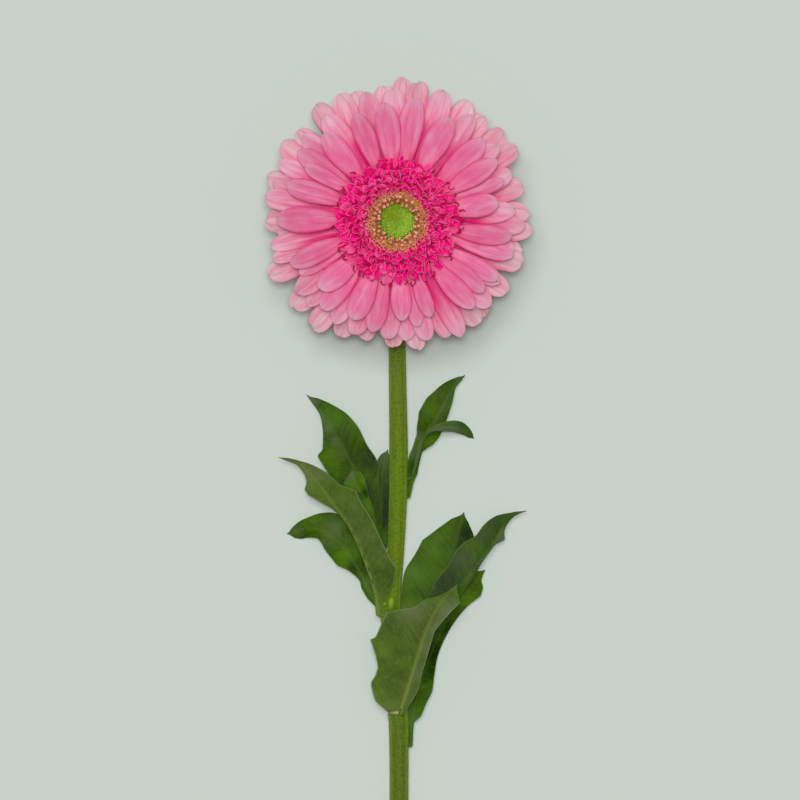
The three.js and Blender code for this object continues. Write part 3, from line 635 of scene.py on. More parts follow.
def add_cut_end(shell, ring, random):
    """A slightly uneven face of the cut end, from the stem's first ring to its middle."""
    centre = ring.mean(axis=0)
    rough = random.normal(0, CUT_ROUGHNESS, (len(CUT_RINGS), SCAPE_SIDES, 3))
    rough[0] = 0
    rings = [centre + (ring - centre) * share + jitter for share, jitter in zip(CUT_RINGS, rough)]
    quads, caps = loft_faces(len(rings), SCAPE_SIDES)
    edge = np.repeat(CUT_RINGS, SCAPE_SIDES)[:, None]
    shell.add(np.vstack(rings), [quads[:, ::-1], [caps[1][::-1]]], edge, look=1)


def make_scape():
    random = chance("stem")
    theta = around(SCAPE_SIDES)
    sections = scape_sections()
    drift = np.cumsum(random.normal(0, RIB_WANDER, len(sections)))
    rings = []
    values = []
    for i, (centre, up, radius, rib) in enumerate(sections):
        wide = radius - rib * (1 - np.cos(RIBS * theta + drift[i]))
        across = np.outer(np.cos(theta) * wide, [1, 0, 0])
        rings.append(centre + across + np.outer(np.sin(theta) * wide, up))
        values.append(np.stack([np.full(SCAPE_SIDES, i / len(sections)), np.cos(theta)], axis=1))
    rings[0][:, 1] += CUT_SLANT * rings[0][:, 2]
    for before, ring in zip(rings[:PUSHED_RINGS], rings[1:]):
        ring[:, 1] = np.maximum(ring[:, 1], before[:, 1] + LEAST_STEP)
    shell = Shell("along", "across")
    quads, caps = loft_faces(len(rings), SCAPE_SIDES)
    shell.add(np.vstack(rings), [quads, caps[1:]], np.vstack(values))
    add_cut_end(shell, rings[0], random)
    return shell.to_object("stem", [scape_material(), cut_material()])


def make_stem_down():
    """Fine hairs on the lying stem, each a slim spike of four faces that leans towards the cut end."""
    random = chance("stem_down")
    x, y, radius = scape_curve.at(random.random(HAIRS)).T
    theta = random.random(HAIRS) * TURN
    radius = radius * FLAT_SHARE
    out = np.stack([np.cos(theta), np.zeros(HAIRS), np.sin(theta)], axis=1)
    roots = np.stack([x, y, radius], axis=1) + out * (radius - HAIR_DEPTH)[:, None]
    lengths = random.uniform(*HAIR_LENGTH, HAIRS)
    keep = (roots[:, 2] > HAIRLESS_HEIGHT) & (roots[:, 1] > CUT_END_Y + HAIRLESS_END)
    roots, out, lengths = roots[keep], out[keep], lengths[keep]
    direction = unit(out - [0, HAIR_LEAN, 0] + random.normal(0, HAIR_SCATTER, out.shape))
    side = unit(np.cross(direction, random.normal(0, 1, out.shape)))
    other = np.cross(direction, side)
    corners = [
        roots - out * HAIR_BASE + HAIR_RADIUS * (side * math.cos(angle) + other * math.sin(angle))
        for angle in (0, 2.1, 4.2)
    ]
    points = np.stack([*corners, roots + direction * lengths[:, None]], axis=1)
    first = np.arange(len(roots))[:, None] * 4
    shell = Shell()
    shell.add(points, [first + face for face in ([0, 2, 1], [0, 1, 3], [1, 2, 3], [2, 0, 3])])
    return shell.to_object("stem_down", [hair_material()])


# The green cup under the petals

CUP = [
    [4.4, 0.2], [9.2, 4.6], [11.7, 8.2], [12.7, 11.4], [14.2, 11.4], [13.8, 8.0], [11.0, 3.4],
    [5.6, -0.6], [4.4, 0.2],
]
# Each row is [count, root, bend, tip, width], the places as [radius, height].
BRACT_ROWS = [
    [17, [6.6, 0.4], [9.6, 1.8], [13.2, 5.6], 2.6],
    [20, [8.4, 1.8], [11.6, 3.8], [15.0, 8.6], 2.9],
    [22, [11.0, 4.0], [13.4, 6.2], [15.6, 11.2], 3.1],
]
BRACT_OUTLINE = {0: 0.8, 0.3: 1, 0.65: 0.85, 0.9: 0.42, 1: 0.08}
BRACT_KEEL = 0.35
BRACT_HALF_THICKNESS = 0.25


def make_involucre():
    random = chance("green_cup")
    shell = Shell("along", "across", "tint")
    shell.add(*lathe(CUP), [0.2, 0, 0], look=1)
    shares = np.linspace(0, 1, 14)
    u = np.linspace(1, -1, 9)
    outline = smooth_through(BRACT_OUTLINE, shares)[:, None]
    keel = BRACT_KEEL * (1 - u**2) * outline
    thick = BRACT_HALF_THICKNESS * (1 - 0.7 * u**2) * (1 - 0.5 * shares[:, None])
    for row, (count, root, bend, tip, width) in enumerate(BRACT_ROWS):
        for i in range(count):
            azimuth = (i + row / 2 + random.uniform(-0.12, 0.12)) / count * TURN
            end = [tip[0] + random.uniform(-0.3, 0.3), tip[1] + random.uniform(-0.5, 0.5)]
            radius, height = bezier(root, bend, end, shares).T
            sideways = u * width / 2 * outline
            middle = on_axis(azimuth, radius[:, None] + keel, sideways, height[:, None] - 0.6 * keel)
            shell.add_blade(middle, shares, u, thick, random.uniform(-1, 1))
    cup = bed_material("cup", (80, 106, 38), (110, 136, 52), 900)
    return shell.to_object("green_cup", [bud_material("bracts"), cup], bloom_to_frame)


# The ray petals

# {share of the length: share of the full width}, up to where the rounded tip begins
PETAL_OUTLINE = {0: 0.3, 0.35: 0.52, 0.55: 0.84, 0.72: 1, 0.88: 0.93}
FULLNESS = 1.08  # how much fuller the petals are than the CAD's, whose edges are straight
PETAL_ROOT = 10.9
WHORL_SPAN = 45
# petals are [azimuth in degrees, reach from the axis, width, level]. They, collar, surface and step are
# as in the CAD part. stops are colours along a petal, sheen the colour of the painted highlights, lines
# how strongly the two darker grooves show (vein colour and painted shade), tan how brown some tips are,
# and root how far the red of the root reaches before the painted shade on its flanks fades out.
WHORLS = {}
WHORLS["ray_petals_outer"] = dict(
    collar=[12.4, 13.7], surface=[13.1, 3.0, -4.9], step=0.8, arch=0.35, tip=0.87, bluntness=0.4,
    unruly=1.8,
    stops=[
        (0.4, (244, 90, 146)), (0.6, (248, 126, 166)), (0.78, (248, 164, 182)), (0.92, (240, 186, 192)),
        (1, (230, 192, 192)),
    ],
    sheen=(255, 216, 222), lines=0.38, tan=0.5, root=0.56,
    petals=[
        [3, 55, 9.2, 0], [15, 54.2, 9.2, 0], [31, 58.3, 8.8, 1], [39, 57.5, 9.2, -1], [50, 56.3, 9, 0],
        [58.5, 57.9, 10.2, 1], [81, 57.9, 9.6, 1], [87.5, 59.2, 8.6, -1], [95.5, 55.8, 9, 0],
        [108.5, 55.8, 9.4, -1], [114.5, 57.5, 9.6, 1], [125.5, 58.3, 9.4, 0], [138.5, 55.4, 9.2, -1],
        [147, 57.5, 9.2, 1], [162.5, 56.7, 9.6, 0], [180.5, 54.6, 9.6, 0], [204, 58.3, 10.2, 1],
        [220.5, 57.1, 10.4, 0], [232.5, 57.5, 9.8, 1], [244, 54.6, 9, -1], [255, 52.1, 7.6, 0],
        [268.5, 53.3, 8, 0], [279, 55, 9, 1], [307.5, 55.4, 9, 1], [313, 54.6, 8.4, -1],
        [326.5, 55, 9.6, 1], [340.5, 55.4, 9.6, 1], [346.5, 53.3, 7, -1], [355, 56.3, 9, 0],
    ],
)
WHORLS["ray_petals_middle"] = dict(
    collar=[14.1, 15.3], surface=[14.7, 5.0, -3.4], step=0.8, arch=0.4, tip=0.83, bluntness=0.47,
    unruly=1.2,
    stops=[
        (0.4, (244, 84, 142)), (0.58, (246, 108, 156)), (0.76, (244, 144, 172)), (0.92, (240, 174, 190)),
        (1, (226, 180, 190)),
    ],
    sheen=(252, 200, 212), lines=0.32, tan=0.25, root=0.52,
    petals=[
        [5, 49.2, 8.6, 1], [22.5, 51.7, 9, 0], [36.5, 52.1, 9, 1], [54.5, 53.8, 9.4, 0],
        [70, 57.5, 10.6, 1], [92, 55, 10.4, 1], [103.5, 55, 9.4, -1], [124.5, 52.9, 10.4, 1],
        [138, 52.5, 9.6, 0], [154, 55, 8, 1], [162.5, 54, 8.4, -1], [170, 55.8, 9.2, 0],
        [186.5, 50, 5.6, -1], [191.5, 53.8, 7.4, 1], [197.5, 54.2, 6.6, 0], [216, 51.7, 9.6, 1],
        [223.5, 51.7, 7, -1], [238.5, 50.4, 9.2, 0], [249.5, 50.8, 8.8, 1], [265.5, 49.6, 9, 0],
        [275, 50.5, 8.4, -1], [284, 51.7, 8.8, 1], [293.5, 53.3, 8, -1], [299.5, 55.4, 8.6, 1],
        [317, 52.9, 9, 0], [329, 50, 8.6, 1], [345, 50.4, 9.6, 0], [357, 53.3, 8.4, -1],
    ],
)
WHORLS["ray_petals_inner"] = dict(
    collar=[15.7, 16.9], surface=[16.3, 9.2, -3.8], step=1.1, arch=0.6, tip=0.78, bluntness=0.55,
    unruly=0.8,
    stops=[
        (0.32, (255, 134, 170)), (0.46, (254, 128, 166)), (0.64, (244, 118, 160)), (0.88, (238, 134, 166)),
        (1, (226, 168, 184)),
    ],
    sheen=(246, 172, 196), lines=0.22, tan=0, root=0.26,
    petals=[
        [10.5, 42.9, 9.4, 1], [20.5, 47.5, 6.4, -1], [31.5, 48.8, 8.8, 1], [43, 49.6, 9.6, 0],
        [63, 48.3, 10.4, 1], [81.5, 51.7, 10.2, 0], [96, 49.6, 10, 1], [111, 48.3, 8.6, 0],
        [129.5, 47.5, 9.4, 1], [144.5, 50.4, 9.2, -1], [149, 44.6, 6.2, 1], [162, 48.3, 8.8, 0],
        [179, 50, 10.6, 1], [202.5, 47.9, 8.8, 1], [208.5, 46.3, 6.4, -1], [221, 42.9, 9.6, 1],
        [230, 48.3, 9.2, -1], [246, 45, 9.6, 1], [257.5, 47.5, 9.2, -1], [273, 41.7, 8.4, 1],
        [281, 45, 7.2, -1], [289, 42.5, 6.6, 0], [311.5, 48.3, 8.8, 1], [321, 46.7, 7.4, 0],
        [330, 48.3, 8, -1], [343, 50.4, 7.8, -1], [352, 48.3, 8.2, 1],
    ],
)
PETAL_ROWS = 34
PETAL_COLUMNS = 21
PETAL_HALF_THICKNESS = 0.2


def petal_outline(shares, tip_start, bluntness):
    """The share of the full width along a petal: it swells from a narrow root and ends round."""
    body = smooth_through(PETAL_OUTLINE, shares)
    into_tip = np.clip((shares - tip_start) / (1 - tip_start), 0, 1)
    return np.maximum(body * (1 - into_tip**2) ** bluntness, 0.02)


def petal_surface(whorl, petal, random):
    """The middle surface of one petal, as rows of points from its root to its tip, with shares and u."""
    azimuth, reach, width, level = petal
    base, rise, fall = whorl["surface"]
    unruly = whorl["unruly"]
    shares = 1 - (1 - np.linspace(0, 1, PETAL_ROWS)) ** 1.5
    down = shares[:, None]
    u = np.linspace(1, -1, PETAL_COLUMNS)
    bluntness = whorl["bluntness"] * random.uniform(0.8, 1.15)
    full = petal_outline(shares, whorl["tip"] + random.uniform(-0.04, 0.04), bluntness)
    radius = PETAL_ROOT + (reach - PETAL_ROOT) * shares
    out = (radius - PETAL_ROOT) / WHORL_SPAN
    height = base + rise * out + fall * out**2 + level * whorl["step"] * np.minimum(1, 2 * out)
    height = height + random.uniform(-1.2, 0.7) * unruly * smoothstep(0.7, 1, shares) ** 2
    half = width / 2 * full * FULLNESS
    # A notched, slanted tip
    notch = random.uniform(0, 0.9) * unruly * bump(u, random.uniform(-0.5, 0.5), 0.18)
    slanted = random.uniform(-0.3, 0.3) * unruly * u
    radius = radius[:, None] - (notch * width / 8 + slanted) * smoothstep(0.78, 1, down)
    # Across the petal: an arch, raised or lowered edges and three grooves
    left_edge, right_edge = random.uniform(-0.5, 0.9, 2) * unruly
    cross = whorl["arch"] * (1 - u**2) + np.where(u > 0, left_edge, right_edge) * np.abs(u) ** 3
    for middle in (-0.4, random.uniform(-0.15, 0.15), 0.4):
        place = middle + random.uniform(-0.1, 0.1) * unruly
        deep = random.uniform(0.06, 0.22) * unruly * (0.6 + 0.9 * smoothstep(0.5, 1, down))
        cross = cross - deep * bump(u, place, 0.13)
    turns = random.uniform(7, 11)
    cross = cross + 0.12 * unruly * np.sin(down * turns + u * 1.5 + random.uniform(0, 6)) * u**2
    roll = math.radians(random.uniform(-7, 7)) * unruly * smoothstep(0.2, 1, shares)
    sway = random.uniform(-0.8, 0.8) * np.sin(math.pi * down)
    lift = cross * full[:, None] + u * (half * roll)[:, None]
    middle = on_axis(math.radians(azimuth), radius, u * half[:, None] + sway, height[:, None] + lift)
    return middle, shares, u


def make_whorl(name, whorl):
    random = chance(name)
    shell = Shell("along", "across", "tint")
    low_edge, high_edge = whorl["collar"]
    profile = [[COLLAR_INNER, low_edge], [COLLAR_OUTER, low_edge], [COLLAR_OUTER, high_edge]]
    shell.add(*lathe([*profile, [COLLAR_INNER, high_edge], profile[0]]), [0, 0, 0])
    for petal in whorl["petals"]:
        middle, shares, u = petal_surface(whorl, petal, random)
        thick = PETAL_HALF_THICKNESS * (1 - 0.65 * u**4) * (1 - 0.4 * shares[:, None])
        shell.add_blade(middle, shares, u, thick, random.uniform(-1, 1))
    return shell.to_object(name, [petal_material(name, whorl)], bloom_to_frame)


# The crowded short florets between the ray petals and the disc

TRANS_BED = [
    [COLLAR_INNER, BED_BASE], [11.2, BED_BASE], [13, 18.2], [22.3, 20.8], [21.9, 21.6], [13.4, 22.9],
    [12.9, 22.6], [COLLAR_INNER, 18.6], [COLLAR_INNER, BED_BASE],
]
TRANS_ROWS = 10
# Each pair is for the innermost and the outermost row of florets.
TRANS_TIP_RADIUS = [15.1, 26.6]
TRANS_TIP_HEIGHT = [25.3, 21.4]
TRANS_OVERHANG = [1.9, 4.2]  # how far a tip leans out from its root
TRANS_HALF_WIDTH = [1.6, 2.15]
TRANS_SPACING = [2.7, 3.9]
TRANS_ROOT_HEIGHT = 21.2
TRANS_OUTLINE = {0: 0.5, 0.4: 0.9, 0.75: 1, 1: 1}
TRANS_HALF_THICKNESS = 0.11
ROW_SHIFT = 0.37  # of a floret's spacing, from one row to the next
CUPPED_SHARE = 0.4  # of the florets end in an upright rim, the others bend down
SCROLLED_SHARE = 0.25  # of the florets are rolled to a tube
OPEN_ROOT_HEIGHT = 22.2  # of the slim florets, the knob and the open disc florets
HOOKS = 30  # slim curled florets that reach over the petals
HOOK_HALF_WIDTH = 0.42
HOOK_HALF_THICKNESS = 0.14
# One pale floret curled up to a knob
CURL_AZIMUTH = math.radians(246)
CURL_RADIUS = 25


def rolled(half, roll, u, flare):
    """Across a strip that is rolled up by roll, and whose edges flare out again: (sideways, rise)."""
    slope = roll[:, None] * (u - flare * u**3)
    middle = len(u) // 2
    places = []
    for part in (np.cos(slope), np.sin(slope)):
        steps = (part[:, 1:] + part[:, :-1]) / 2 * np.diff(u)
        place = np.concatenate([np.zeros((len(roll), 1)), np.cumsum(steps, axis=1)], axis=1)
        places.append((place - place[:, middle:middle + 1]) * half[:, None])
    return places


def ligule(row_share, azimuth, random):
    """A short floret, its sides rolled up and its tip bent: (middle, shares, u)."""
    shares = 1 - (1 - np.linspace(0, 1, 11)) ** 1.6
    down = shares[:, None]
    u = np.linspace(1, -1, 11)
    reach = between(TRANS_TIP_RADIUS, row_share) + random.uniform(-0.9, 0.7)
    overhang = between(TRANS_OVERHANG, row_share) * random.uniform(0.8, 1.25)
    top = between(TRANS_TIP_HEIGHT, row_share**1.7) + random.uniform(-0.7, 0.7)
    bend, tip = [reach - 0.6 * overhang, top + 0.9], [reach, top]
    if random.random() < CUPPED_SHARE:
        bend, tip = [reach + 0.1 * overhang, top - 0.8], [reach - 0.1 * overhang, top + 0.5]
    radius, height = bezier([reach - overhang, TRANS_ROOT_HEIGHT], bend, tip, shares).T
    into_tip = np.clip((shares - 0.55) / 0.45, 0, 1)
    outline = smooth_through(TRANS_OUTLINE, shares) * np.sqrt(np.maximum(1 - into_tip**2, 0.01))
    widest = between(TRANS_HALF_WIDTH, row_share)
    half = widest * random.uniform(0.8, 1.15) * outline
    roll = random.uniform(0.8, 2.0) * smoothstep(0, 0.7, shares)
    turn = random.normal(0, 0.4) * down
    flare = 0.7
    if random.random() < SCROLLED_SHARE:
        half = widest * random.uniform(0.8, 1.1) * (0.6 + 0.4 * smoothstep(0.2, 1, shares))
        roll = random.uniform(2.0, 2.7) * (1 - 0.2 * shares)
        turn = random.uniform(-math.pi, math.pi)
        flare = 0
    sideways, rise = rolled(half, roll, u, flare)
    frill = 0.14 * np.sin(down * random.uniform(7, 12) + 4 * u + random.uniform(0, 6)) * u**2
    sideways, rise = turned(sideways, rise + frill * smoothstep(0.3, 1, down), turn)
    heading = np.arctan2(np.gradient(height), np.gradient(radius))[:, None]
    lean_out, lift = turned(0, rise, heading)
    away = (radius - radius[0])[:, None] + lean_out
    away, sideways = turned(away, sideways, random.normal(0, 0.55))
    return on_axis(azimuth, radius[0] + away, sideways, height[:, None] + lift), shares, u


def hook(azimuth, random):
    """A slim floret that reaches over the petals and curls to one side: (middle, shares, u)."""
    shares = np.linspace(0, 1, 11)
    u = np.linspace(1, -1, 5)
    heading = random.uniform(-0.5, 0.5) + random.choice([-1, 1]) * random.uniform(1.2, 3) * shares**2
    step = random.uniform(1.8, 3.2) / len(shares)
    away = random.uniform(24.9, 26.4) + np.cumsum(np.cos(heading)) * step
    aside = np.cumsum(np.sin(heading)) * step
    half = HOOK_HALF_WIDTH * (1 - 0.6 * shares)[:, None] * u
    height = OPEN_ROOT_HEIGHT + 0.9 * np.sin(math.pi * shares) - 0.9 * shares
    x, y = turned(0, half, heading[:, None])
    return on_axis(azimuth, away[:, None] + x, aside[:, None] + y, height[:, None]), shares, u


def make_trans_florets():
    random = chance("frilled_ring")
    shell = Shell("along", "across", "tint")
    # the bed takes the dark root end of the colours: painted shade in the gaps between florets
    shell.add(*lathe(TRANS_BED, 96), [0.1, 0, 0])
    for row in range(TRANS_ROWS):
        share = row / (TRANS_ROWS - 1)
        count = round(TURN * between(TRANS_TIP_RADIUS, share) / between(TRANS_SPACING, share))
        for i in range(count):
            azimuth = (i + row * ROW_SHIFT + random.uniform(-0.35, 0.35)) / count * TURN
            floret = ligule(share, azimuth, random)
            shell.add_blade(*floret, TRANS_HALF_THICKNESS, random.uniform(-1, 1))
    for azimuth in random.uniform(0, TURN, HOOKS):
        shell.add_blade(*hook(azimuth, random), HOOK_HALF_THICKNESS, HOOK_TINT)
    root = on_axis(CURL_AZIMUTH, CURL_RADIUS, 0, OPEN_ROOT_HEIGHT)
    heading = on_axis(CURL_AZIMUTH, 0.7, 0, 1)
    spikes(shell, [root], [heading], [2.4], [1.25], [CURL_TINT], ROUND_BUD, sides=12)
    return shell.to_object("frilled_ring", [trans_material()], bloom_to_frame)


# The disc: a ring of small open florets and buds round a green dome of unopened ones

DISC_BED = [
    [DISC_RADIUS + 0.3, BED_BASE], [9.4, BED_BASE], [9.5, 18.7], [12.4, 22.4], [12.2, 22.8],
    [9.6, 22.5], [DISC_RADIUS + 1.6, 21.5], [DISC_RADIUS + 0.7, 21.0], [DISC_RADIUS + 0.3, 20.7],
    [DISC_RADIUS + 0.3, BED_BASE],
]
# The looks of the disc ring's pieces, in the order of its materials
PINK_LOOK, BED_LOOK, OLIVE_LOOK, OUTER_LOOK, GREEN_LOOK = range(5)
# Rings of buds: [count, radius, height, radius and length of a bud, lean, profile, look]
BUD_RINGS = [
    [68, 12.9, 22.5, 0.45, 1.7, 0.5, POINTED_BUD, OUTER_LOOK],
    [56, 11.8, 22.4, 0.5, 1.6, 0.1, POINTED_BUD, OLIVE_LOOK],
    [46, 10.7, 22.3, 0.5, 1.5, 0, POINTED_BUD, OLIVE_LOOK],
    [27, 10.0, 22.3, 0.86, 2.2, -0.1, ROUND_BUD, PINK_LOOK],
    [24, 8.9, 21.9, 0.76, 2.7, -0.75, ROUND_BUD, PINK_LOOK],
    [56, 8.3, 21.5, 0.3, 1.5, 0.1, POINTED_BUD, GREEN_LOOK],
]
# Rings of open florets: [count, radius, lean, size, look]
STAR_RINGS = [[22, 11.2, 0, 1.15, PINK_LOOK], [32, 12.4, 0.3, 1.3, OUTER_LOOK]]
LOBE_OUTLINE = {0: 0.75, 0.5: 1, 1: 0.15}
LOBE_HALF_THICKNESS = 0.07
THREADS = 26
THREAD_RADIUS = 0.14
DOME_SIDES = 48
DOME_RINGS = 14
DOME_BUDS = 400
GOLDEN_ANGLE = math.pi * (3 - math.sqrt(5))


def ring_of_buds(shell, random, count, radius, height, wide, long, lean, profile, look):
    """A ring of buds that lean out from the axis, or towards it where lean is under 0."""
    azimuth = (np.arange(count) + random.uniform(-0.35, 0.35, count)) / count * TURN
    roots = on_axis(azimuth, radius + random.uniform(-0.4, 0.4, count), 0, height - 0.3)
    tilt = lean + random.uniform(-0.35, 0.35, count)
    directions = on_axis(azimuth, tilt, random.uniform(-0.3, 0.3, count), 1)
    lengths = long * random.uniform(0.7, 1.25, count)
    radii = wide * random.uniform(0.8, 1.15, count)
    spikes(shell, roots, directions, lengths, radii, random.uniform(-1, 1, count), profile, look, 8)


def star_floret(shell, random, azimuth, radius, lean, size, look):
    """An open disc floret: a short tube whose five lobes bend out."""
    start = random.uniform(0, 2)
    shares = np.linspace(0, 1, 6)
    u = np.linspace(1, -1, 5)
    outline = smooth_through(LOBE_OUTLINE, shares)[:, None]
    tint = random.uniform(-1, 1)
    size = size * random.uniform(0.85, 1.15)
    for lobe in around(5):
        tip = [1, 1.2 + random.uniform(-0.4, 0.4)]
        away, up = bezier([0.25, 0], [0.35, 1.3], tip, shares).T[..., None] * size
        x, y, z = np.moveaxis(on_axis(start + lobe, away, 0.34 * size * u * outline, up), -1, 0)
        middle = on_axis(azimuth, radius + x + lean * z, y, OPEN_ROOT_HEIGHT + z)
        shell.add_blade(middle, shares, u, LOBE_HALF_THICKNESS, tint, look)


def add_threads(shell, random):
    """A few threads that stand out between the florets."""
    azimuth = random.uniform(0, TURN, THREADS)
    roots = on_axis(azimuth, random.uniform(8.1, 11.5, THREADS), 0, 22.5)
    tilt, swing = random.uniform(-1, 0.8, THREADS), random.uniform(-1, 1, THREADS)
    lengths = random.uniform(2.0, 3.0, THREADS)
    directions = on_axis(azimuth, tilt, swing, 1)
    spikes(shell, roots, directions, lengths, [THREAD_RADIUS] * THREADS, [1] * THREADS, THREAD)


def make_disc_ring():
    random = chance("disc_ring")
    shell = Shell("along", "across", "tint")
    shell.add(*lathe(DISC_BED), [0, 0, 0], BED_LOOK)
    for ring in BUD_RINGS:
        ring_of_buds(shell, random, *ring)
    for count, radius, *rest in STAR_RINGS:
        for i in range(count):
            azimuth = (i + random.uniform(-0.35, 0.35)) / count * TURN
            star_floret(shell, random, azimuth, radius + random.uniform(-0.4, 0.4), *rest)
    add_threads(shell, random)
    bed = bed_material("disc_bed", (128, 82, 30), (182, 128, 62), 700)
    names = ("disc_florets", "disc_buds", "outer_disc_florets", "inner_disc_buds")
    pink, olive, outer, green = (bud_material(name) for name in names)
    return shell.to_object("disc_ring", [pink, bed, olive, outer, green], bloom_to_frame)


def dome_height(radius):
    """The height of the green dome's bed, which dips in its middle."""
    return 20.9 + 1.3 * (1 - (radius / DISC_RADIUS) ** 2) - 0.35 * bump(radius, 0, 1.2)


def make_disc_centre():
    random = chance("green_centre")
    shell = Shell("along", "across", "tint")
    theta = around(DOME_SIDES)
    rings = [on_axis(theta, DISC_RADIUS, 0, BED_BASE)]
    for radius in np.linspace(DISC_RADIUS, 0.05, DOME_RINGS):
        rings.append(on_axis(theta, radius, 0, dome_height(radius)))
    quads, caps = loft_faces(len(rings), DOME_SIDES)
    shell.add(np.vstack(rings), [quads, caps], [0.1, 0, 0], look=1)
    # The buds stand in a sunflower's spiral, and less evenly towards the edge
    order = np.arange(DOME_BUDS) + 0.5
    radius = (DISC_RADIUS + 0.15) * np.sqrt(order / DOME_BUDS)
    edge = (radius / DISC_RADIUS) ** 8
    radius = radius + random.uniform(-0.5, 0.4, DOME_BUDS) * edge
    azimuth = order * GOLDEN_ANGLE + random.uniform(-0.06, 0.06, DOME_BUDS) * edge
    share = radius / DISC_RADIUS
    roots = on_axis(azimuth, radius, 0, dome_height(radius) - 0.25)
    lean = -0.15 - 0.3 * share**2 + (1.05 + random.uniform(-0.2, 0.3, DOME_BUDS)) * edge
    directions = on_axis(azimuth, lean, random.uniform(-0.15, 0.15, DOME_BUDS), 1)
    lengths = (0.95 + 0.25 * share + 0.7 * edge) * random.uniform(0.85, 1.15, DOME_BUDS)
    widths = (0.25 + 0.11 * share) * random.uniform(0.8, 1.15, DOME_BUDS)
    lit = np.cos(azimuth + math.radians(50)) * share
    tints = lit - 0.7 * bump(radius, 0, 2.2) + random.uniform(-0.7, 0.7, DOME_BUDS)
    spikes(shell, roots, directions, lengths, widths, tints)
    bed = bed_material("dome_bed", (116, 150, 26), (146, 180, 50), 900)
    return shell.to_object("green_centre", [bud_material("disc_centre"), bed], bloom_to_frame)


# The leaves

# midrib is [x, y, height], left and right are {share of the midrib: half-width} and turn sharply at the
# teeth. slope is how steeply each half rises from the midrib, curl how much its margin turns up, and wave
# how high the margins wave. So far a leaf is as in the CAD part, but the margins of six leaves follow
# the photograph more closely. rib is how pale the midrib is. tones are soft spots of painted light and
# shade and painted grey sheen, [x, y, reach, lighter or darker, more painted sheen], on the side that
# shows, on both halves or on one.
LEAVES = {}
LEAVES["leaf_upper_left_back"] = dict(
    slope=[0.06, -0.08], curl=[0.04, 0], wave=0.4,
    midrib=[
        [-7.2, -154, 2.6], [-10.6, -124, 3.2], [-17.5, -104, 4.2], [-24.5, -90.5, 5], [-31, -79.5, 4],
        [-37.7, -72, 1.4],
    ],
    teeth=[0.722, 0.734],
    left={0: 1.2, 0.24: 2.6, 0.42: 6, 0.58: 10.4, 0.722: 11.1, 0.734: 7.9, 0.81: 4, 0.9: 1.2, 1: 0.4},
    right={
        0: 1, 0.24: 3.2, 0.34: 4, 0.42: 5.7, 0.49: 7.7, 0.58: 10.2, 0.66: 9.3, 0.735: 9.7, 0.81: 8.6,
        0.9: 4.6, 0.95: 2.4, 1: 0.4,
    },
    tones=[
        [-35.5, -74.5, 3.2, 0, 0.8], [-26.5, -81.5, 4, 0.35, 0], [-16.5, -87, 4, 0.25, 0],
        [-12, -97.5, 5, -0.5, 0.1], [-18, -112, 7, -0.4, 0], [-11, -118, 7, -0.8, 0.1],
        [-21, -90, 4, -0.35, 0], [-20, -100, 9, -0.2, 0],
    ],
    left_tones=[
        [-31, -80, 2.6, 0, 0.8], [-28.5, -85.5, 2.6, -0.1, 0.75], [-25.5, -91, 2.4, -0.1, 0.6],
        [-22.5, -96.5, 2, 0, 0.4], [-28, -97, 4.5, 0.5, 0], [-25, -105, 5, 0.2, 0],
    ],
)
LEAVES["leaf_upper_left_front"] = dict(
    underside=True, slope=[-0.05, 0.2], curl=[0, 0.05], wave=0.3, rib=0.8,
    midrib=[
        [-7.8, -164, 7.4], [-9, -155, 7.6], [-13, -142, 7.9], [-19.5, -127.5, 8.6], [-27, -117, 9.2],
        [-35, -106.5, 8.6], [-41.5, -100.8, 7.2], [-49.4, -98.1, 4.6],
    ],
    teeth=[0.13, 0.2, 0.6, 0.73],
    left={
        0: 0.9, 0.52: 0.7, 0.6: 1.4, 0.64: 3, 0.73: 6.3, 0.765: 6.1, 0.795: 3.2, 0.84: 1.5, 0.9: 0.6,
        1: 0.4,
    },
    right={
        0: 1, 0.08: 4.1, 0.13: 8, 0.2: 11.3, 0.26: 10, 0.37: 9.4, 0.52: 9.5, 0.6: 10.8, 0.64: 8.9,
        0.68: 6.8, 0.765: 5.4, 0.84: 3.2, 0.9: 1.3, 1: 0.4,
    },
    tones=[
        [-46, -99, 4, -0.2, 0.2], [-38, -104, 4, 0, 0.5], [-16, -128, 9, -0.15, 0.15],
        [-8, -148, 7, -0.35, 0], [-8, -160, 4, 0.5, 0],
    ],
    left_tones=[[-37, -109, 3.5, 0.5, 0.1], [-31, -117, 4, 0.4, 0], [-14, -144, 6, -0.3, 0.4]],
    right_tones=[[-31, -104, 4, 0.1, 0.45], [-5, -138, 6, 0.1, 0.1]],
)
